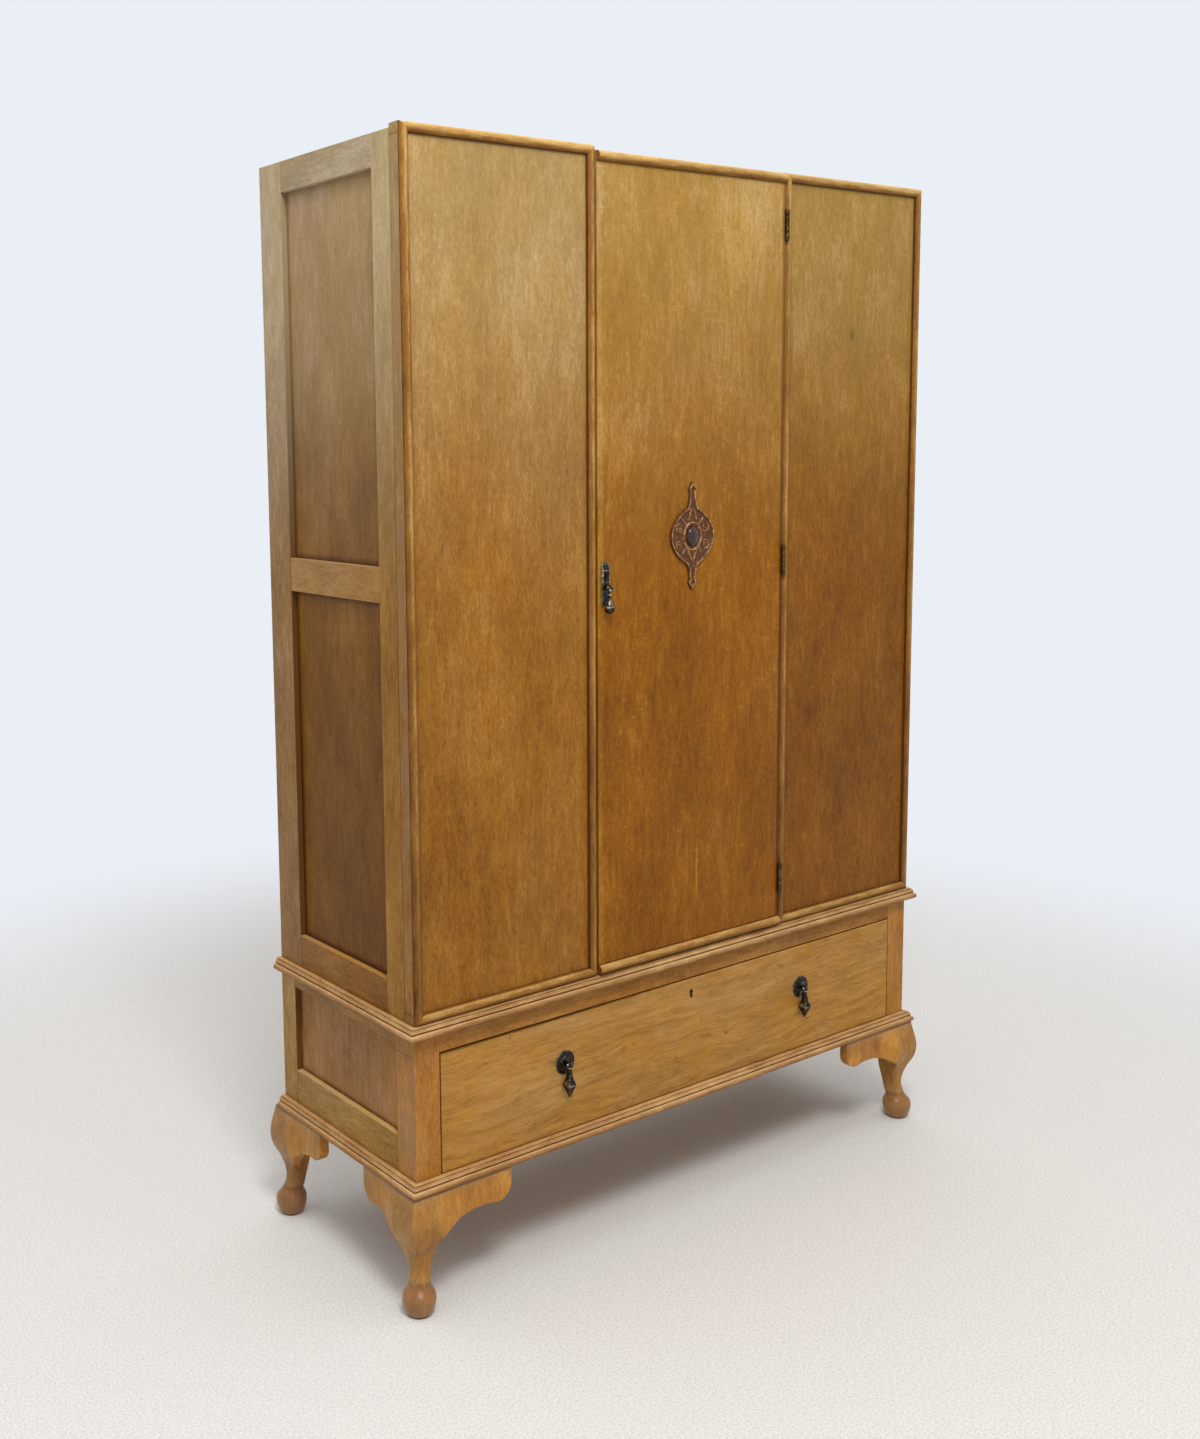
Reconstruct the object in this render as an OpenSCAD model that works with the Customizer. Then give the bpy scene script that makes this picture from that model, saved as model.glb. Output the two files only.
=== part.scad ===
// A one-door wardrobe in oak with a drawer in its base, standing on four short cabriole legs.
// Millimetres, X to the right, Y to the back, Z up. The origin is on the floor, under the
// middle of the whole piece, and the front faces -Y. Left and right are as its viewer sees them.

/* [Carcase] */
// Width over the sides, without the mouldings
carcase_w = 1185; // [1140:5:1260]
// Depth from the face of the fixed fronts to the back
carcase_d = 410; // [390:5:460]
// Height of the upper carcase, from the base to the top of its sides
upper_h = 1350; // [1250:10:1450]
// Height of the base, from the legs to its top
base_h = 275; // [255:5:315]
// Height of the legs
leg_h = 199; // [192:1:225]
// How much the left fixed front stands above the rest of the top
left_rise = 6; // [2:1:10]

/* [Side frames] */
// Thickness of the stiles and rails
frame_t = 22; // [20:1:26]
// Width of the front stiles
front_stile_w = 49; // [42:1:60]
// Width of the back stiles
back_stile_w = 70; // [60:1:80]
// Height of the top rails
top_rail_h = 49; // [42:1:60]
// Height of the middle rails
middle_rail_h = 55; // [45:1:70]
// Height of the middle rails' underside above the base
middle_rail_z = 652; // [560:4:720]
// Height of the bottom rails
bottom_rail_h = 56; // [46:1:70]
// Length of the rails' tenons
tenon_l = 24; // [16:1:30]
// Distance from a tenon's edge to its rail's edge
tenon_inset = 11; // [10:0.5:13]
// Thickness of the thin panels in the sides
panel_t = 6; // [5:0.5:8]
// How deep the thin panels lie behind the stiles' faces
panel_recess = 10; // [7:0.5:12]
// Depth of the grooves that hold the thin panels
groove_d = 8; // [5:0.5:9]
// Room left at a panel's edge in its groove
groove_room = 1; // [0.5:0.1:2]

/* [Inside the carcase] */
// Thickness of the top and of the floor
shelf_t = 20; // [16:1:26]
// Thickness of the back panels
back_t = 6; // [4:0.5:8]
// Width of the rebates that hold the back panels
rebate_w = 8; // [6:1:10]
// Width of the post behind the joint of the back panels
muntin_w = 60; // [40:2:80]
// Thickness of that post
muntin_t = 20; // [16:1:24]
// Width of the posts beside the door opening
post_w = 45; // [36:1:60]
// Thickness of the posts beside the door opening
post_t = 22; // [18:1:26]
// How far the closing post reaches behind the door
stop_lap = 10; // [6:1:14]
// Outer radius of the hanging rail
rail_r = 12.5; // [10:0.5:15]
// Wall of the hanging rail
rail_wall = 1.5; // [1:0.25:3]
// Distance from the carcase's top to the middle of the hanging rail
rail_drop = 124; // [90:2:160]
// Thickness of the battens that carry the hanging rail
bearer_t = 18; // [14:1:22]
// Height of those battens
bearer_h = 50; // [40:2:70]
// How far the rail lies above the battens' middle
bearer_rise = 5; // [0:1:8]
// Depth of the holes in the battens
bearer_hole_d = 10; // [6:1:12]
// Clearance round the hanging rail in its holes
rail_clear = 0.1; // [0.05:0.05:0.3]
// Length of the screws through the floor into the base
carcase_screw_l = 50; // [36:2:70]
// Distance from the sides' inner faces to those screws
carcase_screw_in = 14.5; // [12:0.5:18]

/* [Fronts] */
// Thickness of the fixed fronts
board_t = 23; // [20:1:28]
// Width of the opening between the fixed fronts
opening_w = 440; // [400:5:500]
// Width of the half-round beads
bead_w = 16; // [12:1:20]
// Thickness of the door
door_t = 28; // [24:0.5:30]
// How far the door's face stands before the fixed fronts
door_proud = 5.5; // [4:0.25:7]
// Gap round the door
door_gap = 2; // [1.6:0.1:3]

/* [Hinges] */
// Height of a hinge
hinge_h = 52; // [46:1:64]
// Distance from the door's end to the nearest hinge
hinge_inset = 62; // [40:2:120]
// Radius of the knuckles
knuckle_r = 4; // [3.6:0.1:4.2]
// Distance from the door's face to the hinge axis
hinge_out = 4.2; // [4.1:0.05:5]
// Gap between knuckles
knuckle_gap = 0.3; // [0.2:0.05:0.5]
// Radius of the hinge pins
pin_r = 1.6; // [1.3:0.1:2]
// Clearance of a pin in its bore
pin_clear = 0.05; // [0.03:0.01:0.08]
// Thickness of the leaves
leaf_t = 1.5; // [1.2:0.1:1.8]
// Depth of the leaves, from the axis
leaf_d = 26; // [23:0.5:28]
// Gap between closed leaves
leaf_gap = 1; // [0.6:0.1:1.4]
// Radius of a hinge screw's shank
screw_r = 1.5; // [1.2:0.1:2]
// Length of a hinge screw
screw_l = 16; // [12:1:20]
// Distance from the hinge axis to its screws
hinge_screw_y = 18; // [16:0.5:20]
// Distance from a hinge's end to the nearest screw
hinge_screw_end = 11; // [8:0.5:14]

/* [Locks] */
// Width of the lock bolts
bolt_w = 22; // [16:1:24]
// Thickness of the lock bolts
bolt_t = 8; // [6:0.5:8]
// Travel of the lock bolts
bolt_throw = 8; // [5:0.5:8]
// Length of the door's bolt
door_bolt_l = 34; // [28:1:38]
// Length of the drawer's bolt
drawer_bolt_l = 30; // [26:1:36]
// Wall between a bolt and the outside of its case
case_wall = 3; // [2.5:0.25:3.5]
// Thickness of a lock case
case_t = 14; // [13.5:0.1:14.5]
// Height of the door's lock case
door_case_h = 54; // [44:1:60]
// Length of the door's lock case
door_case_l = 44; // [42:1:54]
// Width of the drawer's lock case
drawer_case_w = 56; // [44:1:70]
// Height of the drawer's lock case
drawer_case_h = 48; // [42:1:60]
// Thickness of the plate on the door's edge and of the striking plate
plate_edge_t = 1.5; // [1:0.1:1.8]
// Height of the plate on the door's edge
door_fore_end_h = 80; // [66:1:100]
// Height of the striking plate
strike_h = 50; // [40:1:60]
// Room left past the end of a thrown bolt in its mortise
mortise_room = 5; // [3:0.5:8]
// Radius of a keyhole's round end
key_r = 2.6; // [2:0.1:3]
// Width of a keyhole's slot
key_slot_w = 2.8; // [2:0.1:4]
// Length of a keyhole, over all
key_l = 13; // [10:0.5:15]

/* [Door handle and ornament] */
// Width of the handle's plate
handle_w = 19; // [16:1:24]
// Height of the handle's plate
handle_h = 73; // [66:1:84]
// Thickness of the handle's plate
handle_t = 2; // [1.5:0.1:3]
// Distance from the door's edge to the middle of the plate
handle_inset = 16; // [14:0.5:20]
// Height of the plate's lower edge above the base
handle_z = 624; // [560:2:700]
// Height of the keyhole in the plate
handle_key_z = 50; // [46:1:54]
// Height of the drop's pivot in the plate
handle_pivot_z = 32; // [28:1:36]
// Distance from a plate to its drop's pivot
pivot_out = 9; // [8.5:0.1:10]
// Length of the door's drop, below its pivot
door_drop_l = 44; // [38:1:52]
// Radius of the door's drop
door_drop_r = 7.5; // [6:0.1:7.6]
// Height of the carved ornament
ornament_h = 184; // [170:1:200]
// Half the width of the carved ornament
ornament_r = 52; // [46:1:58]
// Height of the ornament's middle above the base
ornament_z = 729; // [650:1:800]
// Distance of the ornament's middle from the door's middle
ornament_x = -7; // [-12:1:12]
// Thickness of the ornament's ground
ornament_t = 5; // [3:0.5:7]
// Height of the rim, scrolls and boss over the ground
ornament_relief = 3.5; // [2:0.25:5]
// Width of the rim and scrolls
rim_w = 4; // [3:0.25:5]

/* [Base] */
// Width of the front posts
front_post_w = 47.5; // [40:0.5:56]
// Depth of the front posts
front_post_d = 50; // [44:1:60]
// Width and depth of the back posts
back_post_w = 45; // [38:1:52]
// Height of the side frames' upper rails
base_top_rail_h = 43; // [36:1:52]
// Height of the side frames' lower rails
base_bottom_rail_h = 81; // [66:1:90]
// Height of the rail over the drawer
front_rail_h = 53; // [46:1:62]
// Thickness of the rail over the drawer
front_rail_t = 24; // [22:1:30]

/* [Drawer] */
// Gap below and beside the drawer's front
drawer_gap = 1.5; // [1:0.1:2]
// Gap above the drawer's front
drawer_top_gap = 2.5; // [1.5:0.1:3.5]
// Thickness of the drawer's front
drawer_front_t = 22; // [20:0.5:24]
// Thickness of the drawer's sides and back
drawer_side_t = 12; // [10:0.5:15]
// Length of the drawer
drawer_l = 380; // [330:5:384]
// How much lower the drawer's sides are than its front
drawer_side_drop = 3; // [1:0.5:6]
// How much lower the drawer's back is than its sides
drawer_back_drop = 8; // [2:1:16]
// Thickness of the drawer's bottom
drawer_bottom_t = 6; // [4:0.5:8]
// Height of the drawer's bottom above the lower edge
drawer_bottom_z = 8; // [7:0.5:12]
// Depth of the grooves that hold the drawer's bottom
drawer_groove_d = 6; // [4:0.5:7]
// Depth of the dovetails in the drawer's front
dovetail_d = 14; // [12:0.5:16]
// Number of dovetails at each corner
dovetails = 4; // [3:1:6]
// Width of the runners, measured from the side rails
runner_w = 45.5; // [42:0.5:52]
// Height of the runners and of the strips over the drawer's sides
runner_h = 20; // [16:1:26]
// Height of the strips that guide the drawer's sides
guide_h = 23.5; // [18:0.5:30]
// Distance between a guide and the drawer's side
guide_gap = 0.5; // [0.3:0.1:1]
// Height of the drawer's stops
stop_h = 7; // [5:0.5:8]
// Distance between the drawer's front and its stops
stop_gap = 0.3; // [0.2:0.1:0.6]
// Distance from the middle to each stop
stop_x = 280; // [120:10:400]
// Width of a stop
stop_w = 50; // [30:2:80]
// Distance from the middle to each pull
pull_x = 289; // [240:1:340]
// How far a pull's pivot lies above the middle of the drawer's opening
pull_rise = 18.5; // [5:0.5:30]
// Radius of a pull's plate
pull_plate_r = 20.5; // [18:0.5:24]
// Thickness of a pull's plate
pull_plate_t = 3; // [2:0.25:4]
// Length of a pull's drop, below its pivot
pull_drop_l = 57; // [50:1:64]
// Radius of a pull's drop
pull_drop_r = 10.8; // [9:0.1:11]

/* [Mouldings] */
// Height of the waist and base mouldings
moulding_h = 21; // [18:0.5:24]
// How far the mouldings stand out
moulding_out = 17; // [15:0.5:20]
// Radius of their round nose
nose_r = 5.5; // [5:0.25:6.5]
// Height of the step between the round shoulder and the nose
step_h = 1.5; // [1:0.25:2.5]
// How far the shoulder reaches past the nose's middle
shoulder_over = 1; // [0.5:0.25:2]

/* [Legs] */
// Radius of the ball feet
ball_r = 27.5; // [25:0.5:30]
// Height of the ball's widest line
ball_z = 28; // [26:0.5:30]
// Distance of the feet's middle from the carcase's corner, inwards each way
ball_in = 4.2; // [3:0.1:8]
// How far the ears stand out from the carcase
ear_out = 12; // [8:0.5:15]
// Thickness of the ears
ear_t = 18; // [14:0.5:20]
// Distance from the carcase's corner to the end of a front ear
front_ear_l = 179; // [150:1:210]
// Distance from the carcase's corner to the end of a side ear
side_ear_l = 137; // [125:1:150]

/* [Hidden] */
$fn = 48;

// Overlap of a cutting shape past the face that it opens
eps = 1;
// Room round a sliding bolt
bolt_room = 0.2;
// Room round a screw in its hole
screw_room = 0.05;
// Room round a metal fitting that is let into the wood
fit_room = 0.05;
// Hairline left at a glued joint between pieces of one node
glue_line = 0.1;

// Planes of the carcase: half its width, its front, its back and its heights
hw = carcase_w / 2;
foot_reach = ball_r - ball_in;
door_drop_reach = door_proud + handle_t + pivot_out + door_drop_r;
pull_drop_reach = pull_plate_t + pivot_out + pull_drop_r;
front_reach = max(foot_reach, door_drop_reach, pull_drop_reach, moulding_out);
fy = -(front_reach + carcase_d + foot_reach) / 2 + front_reach;
by = fy + carcase_d;
base_top = leg_h + base_h;
top = base_top + upper_h;
inner_x = hw - frame_t;
inner_z = [base_top + shelf_t, top - shelf_t];
shelf_y = [fy + board_t, by - back_t];

// Side frames: where the panels and rails lie
panel_x = [hw - panel_recess - panel_t, hw - panel_recess];
side_y = [fy + board_t + front_stile_w, by - back_stile_w];
middle_z = base_top + middle_rail_z;
side_rail_zs = [[base_top, base_top + bottom_rail_h], [middle_z, middle_z + middle_rail_h],
    [top - top_rail_h, top]];
side_panel_zs = [[side_rail_zs[0][1], side_rail_zs[1][0]], [side_rail_zs[1][1], side_rail_zs[2][0]]];
base_side_y = [fy + front_post_d, by - back_post_w];
base_rail_zs = [[leg_h, leg_h + base_bottom_rail_h], [base_top - base_top_rail_h, base_top]];

// Door: its faces and edges
opening_x = opening_w / 2;
door_x = opening_x - door_gap;
door_y = fy - door_proud;
door_back = door_y + door_t;
door_z = [base_top + door_gap, top - door_gap];

// Hinge axis, in the middle of the gap beside the door
axis_x = opening_x - door_gap / 2;
axis_y = door_y - hinge_out;
hinge_span = door_z[1] - door_z[0] - 2 * hinge_inset - hinge_h;
hinge_zs = [for (k = [0 : 2]) door_z[0] + hinge_inset + hinge_h / 2 + k * hinge_span / 2];
knuckles = 5;
knuckle_h = (hinge_h - (knuckles - 1) * knuckle_gap) / knuckles;
screw_head_r = 2 * screw_r;
hinge_screw_z = hinge_h / 2 - hinge_screw_end;

// Door's handle and lock share one line, and the lock case lies flush with the door's back
handle_x = -door_x + handle_inset;
handle_bottom = base_top + handle_z;
lock_z = handle_bottom + handle_key_z - key_l / 4;
door_case_y = door_back - case_t;
door_bolt_y = [door_case_y + case_wall, door_case_y + case_wall + bolt_t];
door_mortise_d = bolt_throw - door_gap + mortise_room;

// Base and drawer: the opening and the drawer's planes
post_x = hw - front_post_w;
bearer_top = leg_h + moulding_h;
opening_top = base_top - front_rail_h;
drawer_x = post_x - drawer_gap;
drawer_z = [bearer_top + drawer_gap, opening_top - drawer_top_gap];
drawer_in_x = drawer_x - drawer_side_t;
drawer_back_y = [fy + drawer_l - drawer_side_t, fy + drawer_l];
drawer_side_top = drawer_z[1] - drawer_side_drop;
drawer_floor = [drawer_z[0] + drawer_bottom_z, drawer_z[0] + drawer_bottom_z + drawer_bottom_t];
drawer_key_x = 4;
drawer_case_y = fy + drawer_front_t - case_t;
drawer_bolt_y = [drawer_case_y + case_wall, drawer_case_y + case_wall + bolt_t];
drawer_mortise_d = bolt_throw - drawer_top_gap + mortise_room;
drawer_key_z = drawer_z[1] - drawer_case_h / 2;
pull_z = (bearer_top + opening_top) / 2 + pull_rise;

// Parts of a drop's joint: the stud's tongue, the cheeks beside it and the bridge below
tongue_w = 4;
tongue_r = 3.6;
cheek_gap = 0.3;
cheek_t = 2.4;
bridge_z = [-6.5, -4.2];
cheek_x = [tongue_w / 2 + cheek_gap, tongue_w / 2 + cheek_gap + cheek_t];

// Legs: height of the ball's curve below and above its widest line, sides of a ring, and the
// rows above it as height, middle (inwards each way), half width and squareness. Shank rows
// go up from the floor, knee rows go down from the top.
ball_low = 37;
ball_high = 25;
ball_top = 17;
leg_sides = 24;
shank_rows = [[50, 6.6, 19.2, 2], [55, 8.8, 18.4, 2], [65, 10.8, 17.6, 2], [77, 12, 17.6, 2]];
knee_rows = [[111, 12, 18.2, 2.3], [101, 11.5, 19, 2.6], [91, 10.5, 21, 3.2], [81, 8, 24.2, 4],
    [69, 6, 26.5, 5.5], [57, 5.2, 27.3, 6.5], [44, 5, 27.5, 7], [29, 6.2, 26.3, 7.5],
    [14, 8, 24.5, 8], [0, 9.5, 23, 8]];
ear_start = 32.5;
front_lobe = [26, 27];
front_arch = [118, 179];
side_lobe = [23.6, 31];
side_arch = [105, 130];

// A box between two corners
module block(lo, hi) {
    translate(lo) cube(hi - lo);
}

// The children and their mirror image on the other side
module both_sides() {
    children();
    mirror([1, 0, 0]) children();
}

// A countersunk screw along +X from its head's face, with room round it
module screw(l, room) {
    rotate([0, 90, 0]) {
        cylinder(h = leaf_t, r1 = screw_head_r + room, r2 = screw_r + room);
        translate([0, 0, leaf_t]) cylinder(h = l - leaf_t, r = screw_r + room);
    }
}

// A keyhole's outline, with its round end's middle on the origin
module keyhole_outline(wall) {
    circle(r = key_r + wall);
    translate([-key_slot_w / 2 - wall, key_r - key_l - wall])
        square([key_slot_w + 2 * wall, key_l - key_r + wall]);
}

// A keyhole through to the given depth behind the XZ plane
module keyhole(depth, wall = 0) {
    translate([0, depth, 0]) rotate([90, 0, 0]) linear_extrude(depth) keyhole_outline(wall);
}

// Carcase sides: drawn at the right, at X > 0
module thin_panels(ys, zs, room) {
    for (z = zs)
        block([panel_x[0], ys[0] - groove_d + room, z[0] - groove_d + room],
            [panel_x[1], ys[1] + groove_d - room, z[1] + groove_d - room]);
}

module tenons(ys, zs, l) {
    for (z = zs)
        block([panel_x[0], ys[0] - l, z[0] + tenon_inset], [panel_x[1], ys[1] + l, z[1] - tenon_inset]);
}

module rails(ys, zs, panel_zs, l) {
    difference() {
        union() {
            for (z = zs)
                block([inner_x, ys[0], z[0]], [hw, ys[1], z[1]]);
            tenons(ys, zs, l);
        }
        thin_panels(ys, panel_zs, 0);
    }
}

module side_joints() {
    thin_panels(side_y, side_panel_zs, 0);
    tenons(side_y, side_rail_zs, tenon_l);
}

module front_stile() {
    color("#9a6a38") difference() {
        block([inner_x, fy + board_t, base_top], [hw, side_y[0], top]);
        side_joints();
    }
}

module back_stile() {
    color("#96673a") difference() {
        block([inner_x, side_y[1], base_top], [hw, by, top]);
        side_joints();
        block([inner_x - eps, by - back_t, base_top - eps], [inner_x + rebate_w, by + eps, top + eps]);
    }
}

module side_rails() {
    color("#9d6d3b") rails(side_y, side_rail_zs, side_panel_zs, tenon_l);
}

module side_panels() {
    color("#8a5f36") thin_panels(side_y, side_panel_zs, groove_room);
}

// Boards that close the carcase
module top_board() {
    color("#a4723c") block([-inner_x, shelf_y[0], inner_z[1]], [inner_x, shelf_y[1], top]);
}

module floor_board() {
    color("#a4723c") difference() {
        block([-inner_x, shelf_y[0], base_top], [inner_x, shelf_y[1], inner_z[0]]);
        carcase_screw_set(screw_room);
    }
}

module back_panel() {
    color("#b08a5a") block([0, by - back_t, base_top], [inner_x + rebate_w, by, top]);
}

module back_muntin() {
    color("#a4723c") block([-muntin_w / 2, by - back_t - muntin_t, inner_z[0]],
        [muntin_w / 2, by - back_t, inner_z[1]]);
}

module closing_post() {
    color("#a4723c") block([-opening_x - post_w + stop_lap + door_gap, shelf_y[0], inner_z[0]],
        [-door_x + stop_lap, shelf_y[0] + post_t, inner_z[1]]);
}

module hinge_post() {
    color("#a4723c") block([opening_x, shelf_y[0], inner_z[0]],
        [opening_x + post_w, shelf_y[0] + post_t, inner_z[1]]);
}

// Hanging rail across the carcase, in blind holes of two battens
rail_z = top - rail_drop;
rail_end = inner_x - bearer_t + bearer_hole_d;
rail_y = (shelf_y[0] + shelf_y[1]) / 2;

module hanging_rail() {
    color("#b9a16b") translate([-rail_end, rail_y, rail_z]) rotate([0, 90, 0]) difference() {
        cylinder(h = 2 * rail_end, r = rail_r);
        translate([0, 0, -eps]) cylinder(h = 2 * rail_end + 2 * eps, r = rail_r - rail_wall);
    }
}

module rail_bearers() {
    color("#a4723c") both_sides() difference() {
        block([inner_x - bearer_t, shelf_y[0], rail_z - bearer_h / 2 - bearer_rise],
            [inner_x, shelf_y[1], rail_z + bearer_h / 2 - bearer_rise]);
        translate([inner_x - bearer_t - eps, rail_y, rail_z]) rotate([0, 90, 0])
            cylinder(h = bearer_hole_d + eps, r = rail_r + rail_clear);
    }
}

// Screws that hold the upper carcase down on the base's posts
carcase_screw_x = inner_x - carcase_screw_in;
carcase_screw_ys = [fy + front_post_d - 12, by - back_t - carcase_screw_in];

module carcase_screw_set(room) {
    both_sides() for (y = carcase_screw_ys)
        translate([carcase_screw_x, y, inner_z[0]]) rotate([0, 90, 0]) screw(carcase_screw_l, room);
}

module carcase_screws() {
    color("#8c7440") carcase_screw_set(0);
}

// Half-round bead along +X from the origin: flat on y = 0, proud to -Y, outer edge on z = 0.
// A mitred one is cut at both ends, so that four of them close a frame.
module bead(l, mitred) {
    difference() {
        rotate([90, 0, 90]) linear_extrude(l) intersection() {
            translate([0, bead_w / 2]) circle(d = bead_w);
            translate([-bead_w, 0]) square(bead_w);
        }
        if (mitred) {
            mitre_cut();
            translate([l, 0, 0]) mirror([1, 0, 0]) mitre_cut();
        }
    }
}

module mitre_cut() {
    far = bead_w + eps;
    translate([0, eps, 0]) rotate([90, 0, 0]) linear_extrude(bead_w + 2 * eps)
        polygon([[-eps, -eps], [glue_line - eps, -eps], [glue_line + far, far], [-eps, far]]);
}

module bead_frame(x, z) {
    w = x[1] - x[0];
    h = z[1] - z[0];
    translate([x[0], fy, z[0]]) bead(w, true);
    translate([x[0], fy, z[1]]) mirror([0, 0, 1]) bead(w, true);
    translate([x[0], fy, z[0]]) mirror([1, 0, -1]) bead(h, true);
    translate([x[1], fy, z[0]]) mirror([1, 0, 0]) mirror([1, 0, -1]) bead(h, true);
}

module left_front_board() {
    color("#b57a34") difference() {
        block([-hw, fy, base_top], [-opening_x, fy + board_t, top + left_rise]);
        strike_recess();
    }
}

module right_front_board() {
    color("#ad7130") difference() {
        block([opening_x, fy, base_top], [hw, fy + board_t, top]);
        frame_leaf_recess();
        hinge_screw_set(1, screw_room);
    }
}

module left_front_beads() {
    color("#bd8843") bead_frame([-hw, -opening_x], [base_top, top + left_rise]);
}

module right_front_beads() {
    color("#b97f3a") difference() {
        bead_frame([opening_x, hw], [base_top, top]);
        frame_leaf_recess();
    }
}

// Hinges. side is -1 for the door's leaf and 1 for the frame's. Each is drawn about its axis.
module leaf_plate(side, room = 0) {
    x = [for (d = [leaf_gap / 2 - room, leaf_gap / 2 + leaf_t + room]) side * d];
    block([min(x), -room, -hinge_h / 2 - room], [max(x), leaf_d + room, hinge_h / 2 + room]);
}

module knuckle(k, r, room) {
    translate([0, 0, -hinge_h / 2 + k * (knuckle_h + knuckle_gap) - room])
        cylinder(h = knuckle_h + 2 * room, r = r);
}

module leaf_screws(side, room) {
    for (z = [-hinge_screw_z, hinge_screw_z])
        translate([side * leaf_gap / 2, hinge_screw_y, z]) rotate([0, 0, side > 0 ? 0 : 180])
            screw(screw_l, room);
}

module hinge_leaf(side) {
    first = side > 0 ? 0 : 1;
    difference() {
        union() {
            leaf_plate(side);
            for (k = [first : 2 : knuckles - 1]) knuckle(k, knuckle_r, 0);
        }
        for (k = [1 - first : 2 : knuckles - 1]) knuckle(k, knuckle_r + knuckle_gap, knuckle_gap);
        translate([0, 0, -hinge_h / 2 - eps])
            cylinder(h = hinge_h + 2 * eps, r = pin_r + pin_clear);
        leaf_screws(side, screw_room);
    }
}

module at_hinges() {
    for (z = hinge_zs) translate([axis_x, axis_y, z]) children();
}

module hinge_screw_set(side, room) {
    at_hinges() leaf_screws(side, room);
}

module frame_leaf_recess() {
    at_hinges() leaf_plate(1, fit_room);
}

module door_leaf_recess() {
    at_hinges() leaf_plate(-1, fit_room);
}

module hinge_frame_leaves() {
    color("#7a5c2c") at_hinges() hinge_leaf(1);
}

module hinge_door_leaves() {
    color("#7a5c2c") at_hinges() hinge_leaf(-1);
}

module hinge_frame_screws() {
    color("#8c7440") hinge_screw_set(1, 0);
}

module hinge_door_screws() {
    color("#8c7440") hinge_screw_set(-1, 0);
}

module hinge_pins() {
    head_h = 1.2;
    color("#7a5c2c") at_hinges() {
        translate([0, 0, -hinge_h / 2]) cylinder(h = hinge_h, r = pin_r);
        for (s = [0, 1]) mirror([0, 0, s])
            translate([0, 0, hinge_h / 2]) cylinder(h = head_h, r = pin_r + 1);
    }
}

// Door
module door_board() {
    color("#b3742e") difference() {
        block([-door_x, door_y, door_z[0]], [door_x, door_back, door_z[1]]);
        door_leaf_recess();
        hinge_screw_set(-1, screw_room);
        door_lock_space(fit_room);
        translate([handle_x, door_y, handle_bottom + handle_key_z])
            keyhole(door_case_y - door_y + eps);
    }
}

module door_beads() {
    color("#bb8038") {
        translate([-door_x, door_y, door_z[0]]) bead(2 * door_x, false);
        translate([-door_x, door_y, door_z[1]]) mirror([0, 0, 1]) bead(2 * door_x, false);
    }
}

// Door lock: a case in a mortise of the door's back, a plate on its edge and a sliding bolt.
// With room, its space also opens past the door's faces.
module door_lock_space(room) {
    out = room > 0 ? eps : 0;
    block([-door_x + plate_edge_t - out, door_case_y - room, lock_z - door_case_h / 2 - room],
        [-door_x + door_case_l + room, door_back + out, lock_z + door_case_h / 2 + room]);
    block([-door_x - out, door_case_y - room, lock_z - door_fore_end_h / 2 - room],
        [-door_x + plate_edge_t + room, door_back + out, lock_z + door_fore_end_h / 2 + room]);
}

module door_bolt_block(room) {
    block([-door_x - (room > 0 ? eps : 0), door_bolt_y[0] - room, lock_z - bolt_w / 2 - room],
        [-door_x + door_bolt_l + room, door_bolt_y[1] + room, lock_z + bolt_w / 2 + room]);
}

module door_lock_case() {
    color("#8c7440") difference() {
        door_lock_space(0);
        door_bolt_block(bolt_room);
        translate([handle_x, door_case_y - eps, handle_bottom + handle_key_z])
            keyhole(case_wall + 2 * eps);
    }
}

module door_lock_bolt() {
    color("#a08848") door_bolt_block(0);
}

module strike_plate(room) {
    block([-opening_x - plate_edge_t - room, door_case_y - room, lock_z - strike_h / 2 - room],
        [-opening_x + (room > 0 ? eps : 0), door_back + room, lock_z + strike_h / 2 + room]);
}

module strike_mortise(depth) {
    block([-opening_x - depth, door_bolt_y[0] - bolt_room, lock_z - bolt_w / 2 - bolt_room],
        [-opening_x + eps, door_bolt_y[1] + bolt_room, lock_z + bolt_w / 2 + bolt_room]);
}

module strike_recess() {
    strike_plate(fit_room);
    strike_mortise(door_mortise_d);
}

module lock_strike() {
    color("#8c7440") difference() {
        strike_plate(0);
        strike_mortise(plate_edge_t + eps);
    }
}

// A drop's stud: a tongue that stands on a plate's face at y = 0, with a pin across it
module drop_stud() {
    block([-tongue_w / 2, -pivot_out, -tongue_r], [tongue_w / 2, 0, tongue_r]);
    translate([-tongue_w / 2, -pivot_out, 0]) rotate([0, 90, 0]) cylinder(h = tongue_w, r = tongue_r);
    pin_l = 2 * cheek_x[1] + 1;
    translate([-pin_l / 2, -pivot_out, 0]) rotate([0, 90, 0]) cylinder(h = pin_l, r = pin_r);
}

// A hanging drop about its pivot: two cheeks and a bridge that carry a turned body
module drop(profile) {
    difference() {
        for (s = [0, 1]) mirror([s, 0, 0]) {
            translate([cheek_x[0], 0, 0]) rotate([0, 90, 0]) cylinder(h = cheek_t, r = tongue_r);
            block([cheek_x[0], -tongue_r + 1, bridge_z[0]], [cheek_x[1], tongue_r - 1, 0]);
        }
        translate([-cheek_x[1] - eps, 0, 0]) rotate([0, 90, 0])
            cylinder(h = 2 * cheek_x[1] + 2 * eps, r = pin_r + pin_clear);
    }
    block([-cheek_x[1], -tongue_r + 1, bridge_z[0]], [cheek_x[1], tongue_r - 1, bridge_z[1]]);
    rotate_extrude() polygon(profile);
}

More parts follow.
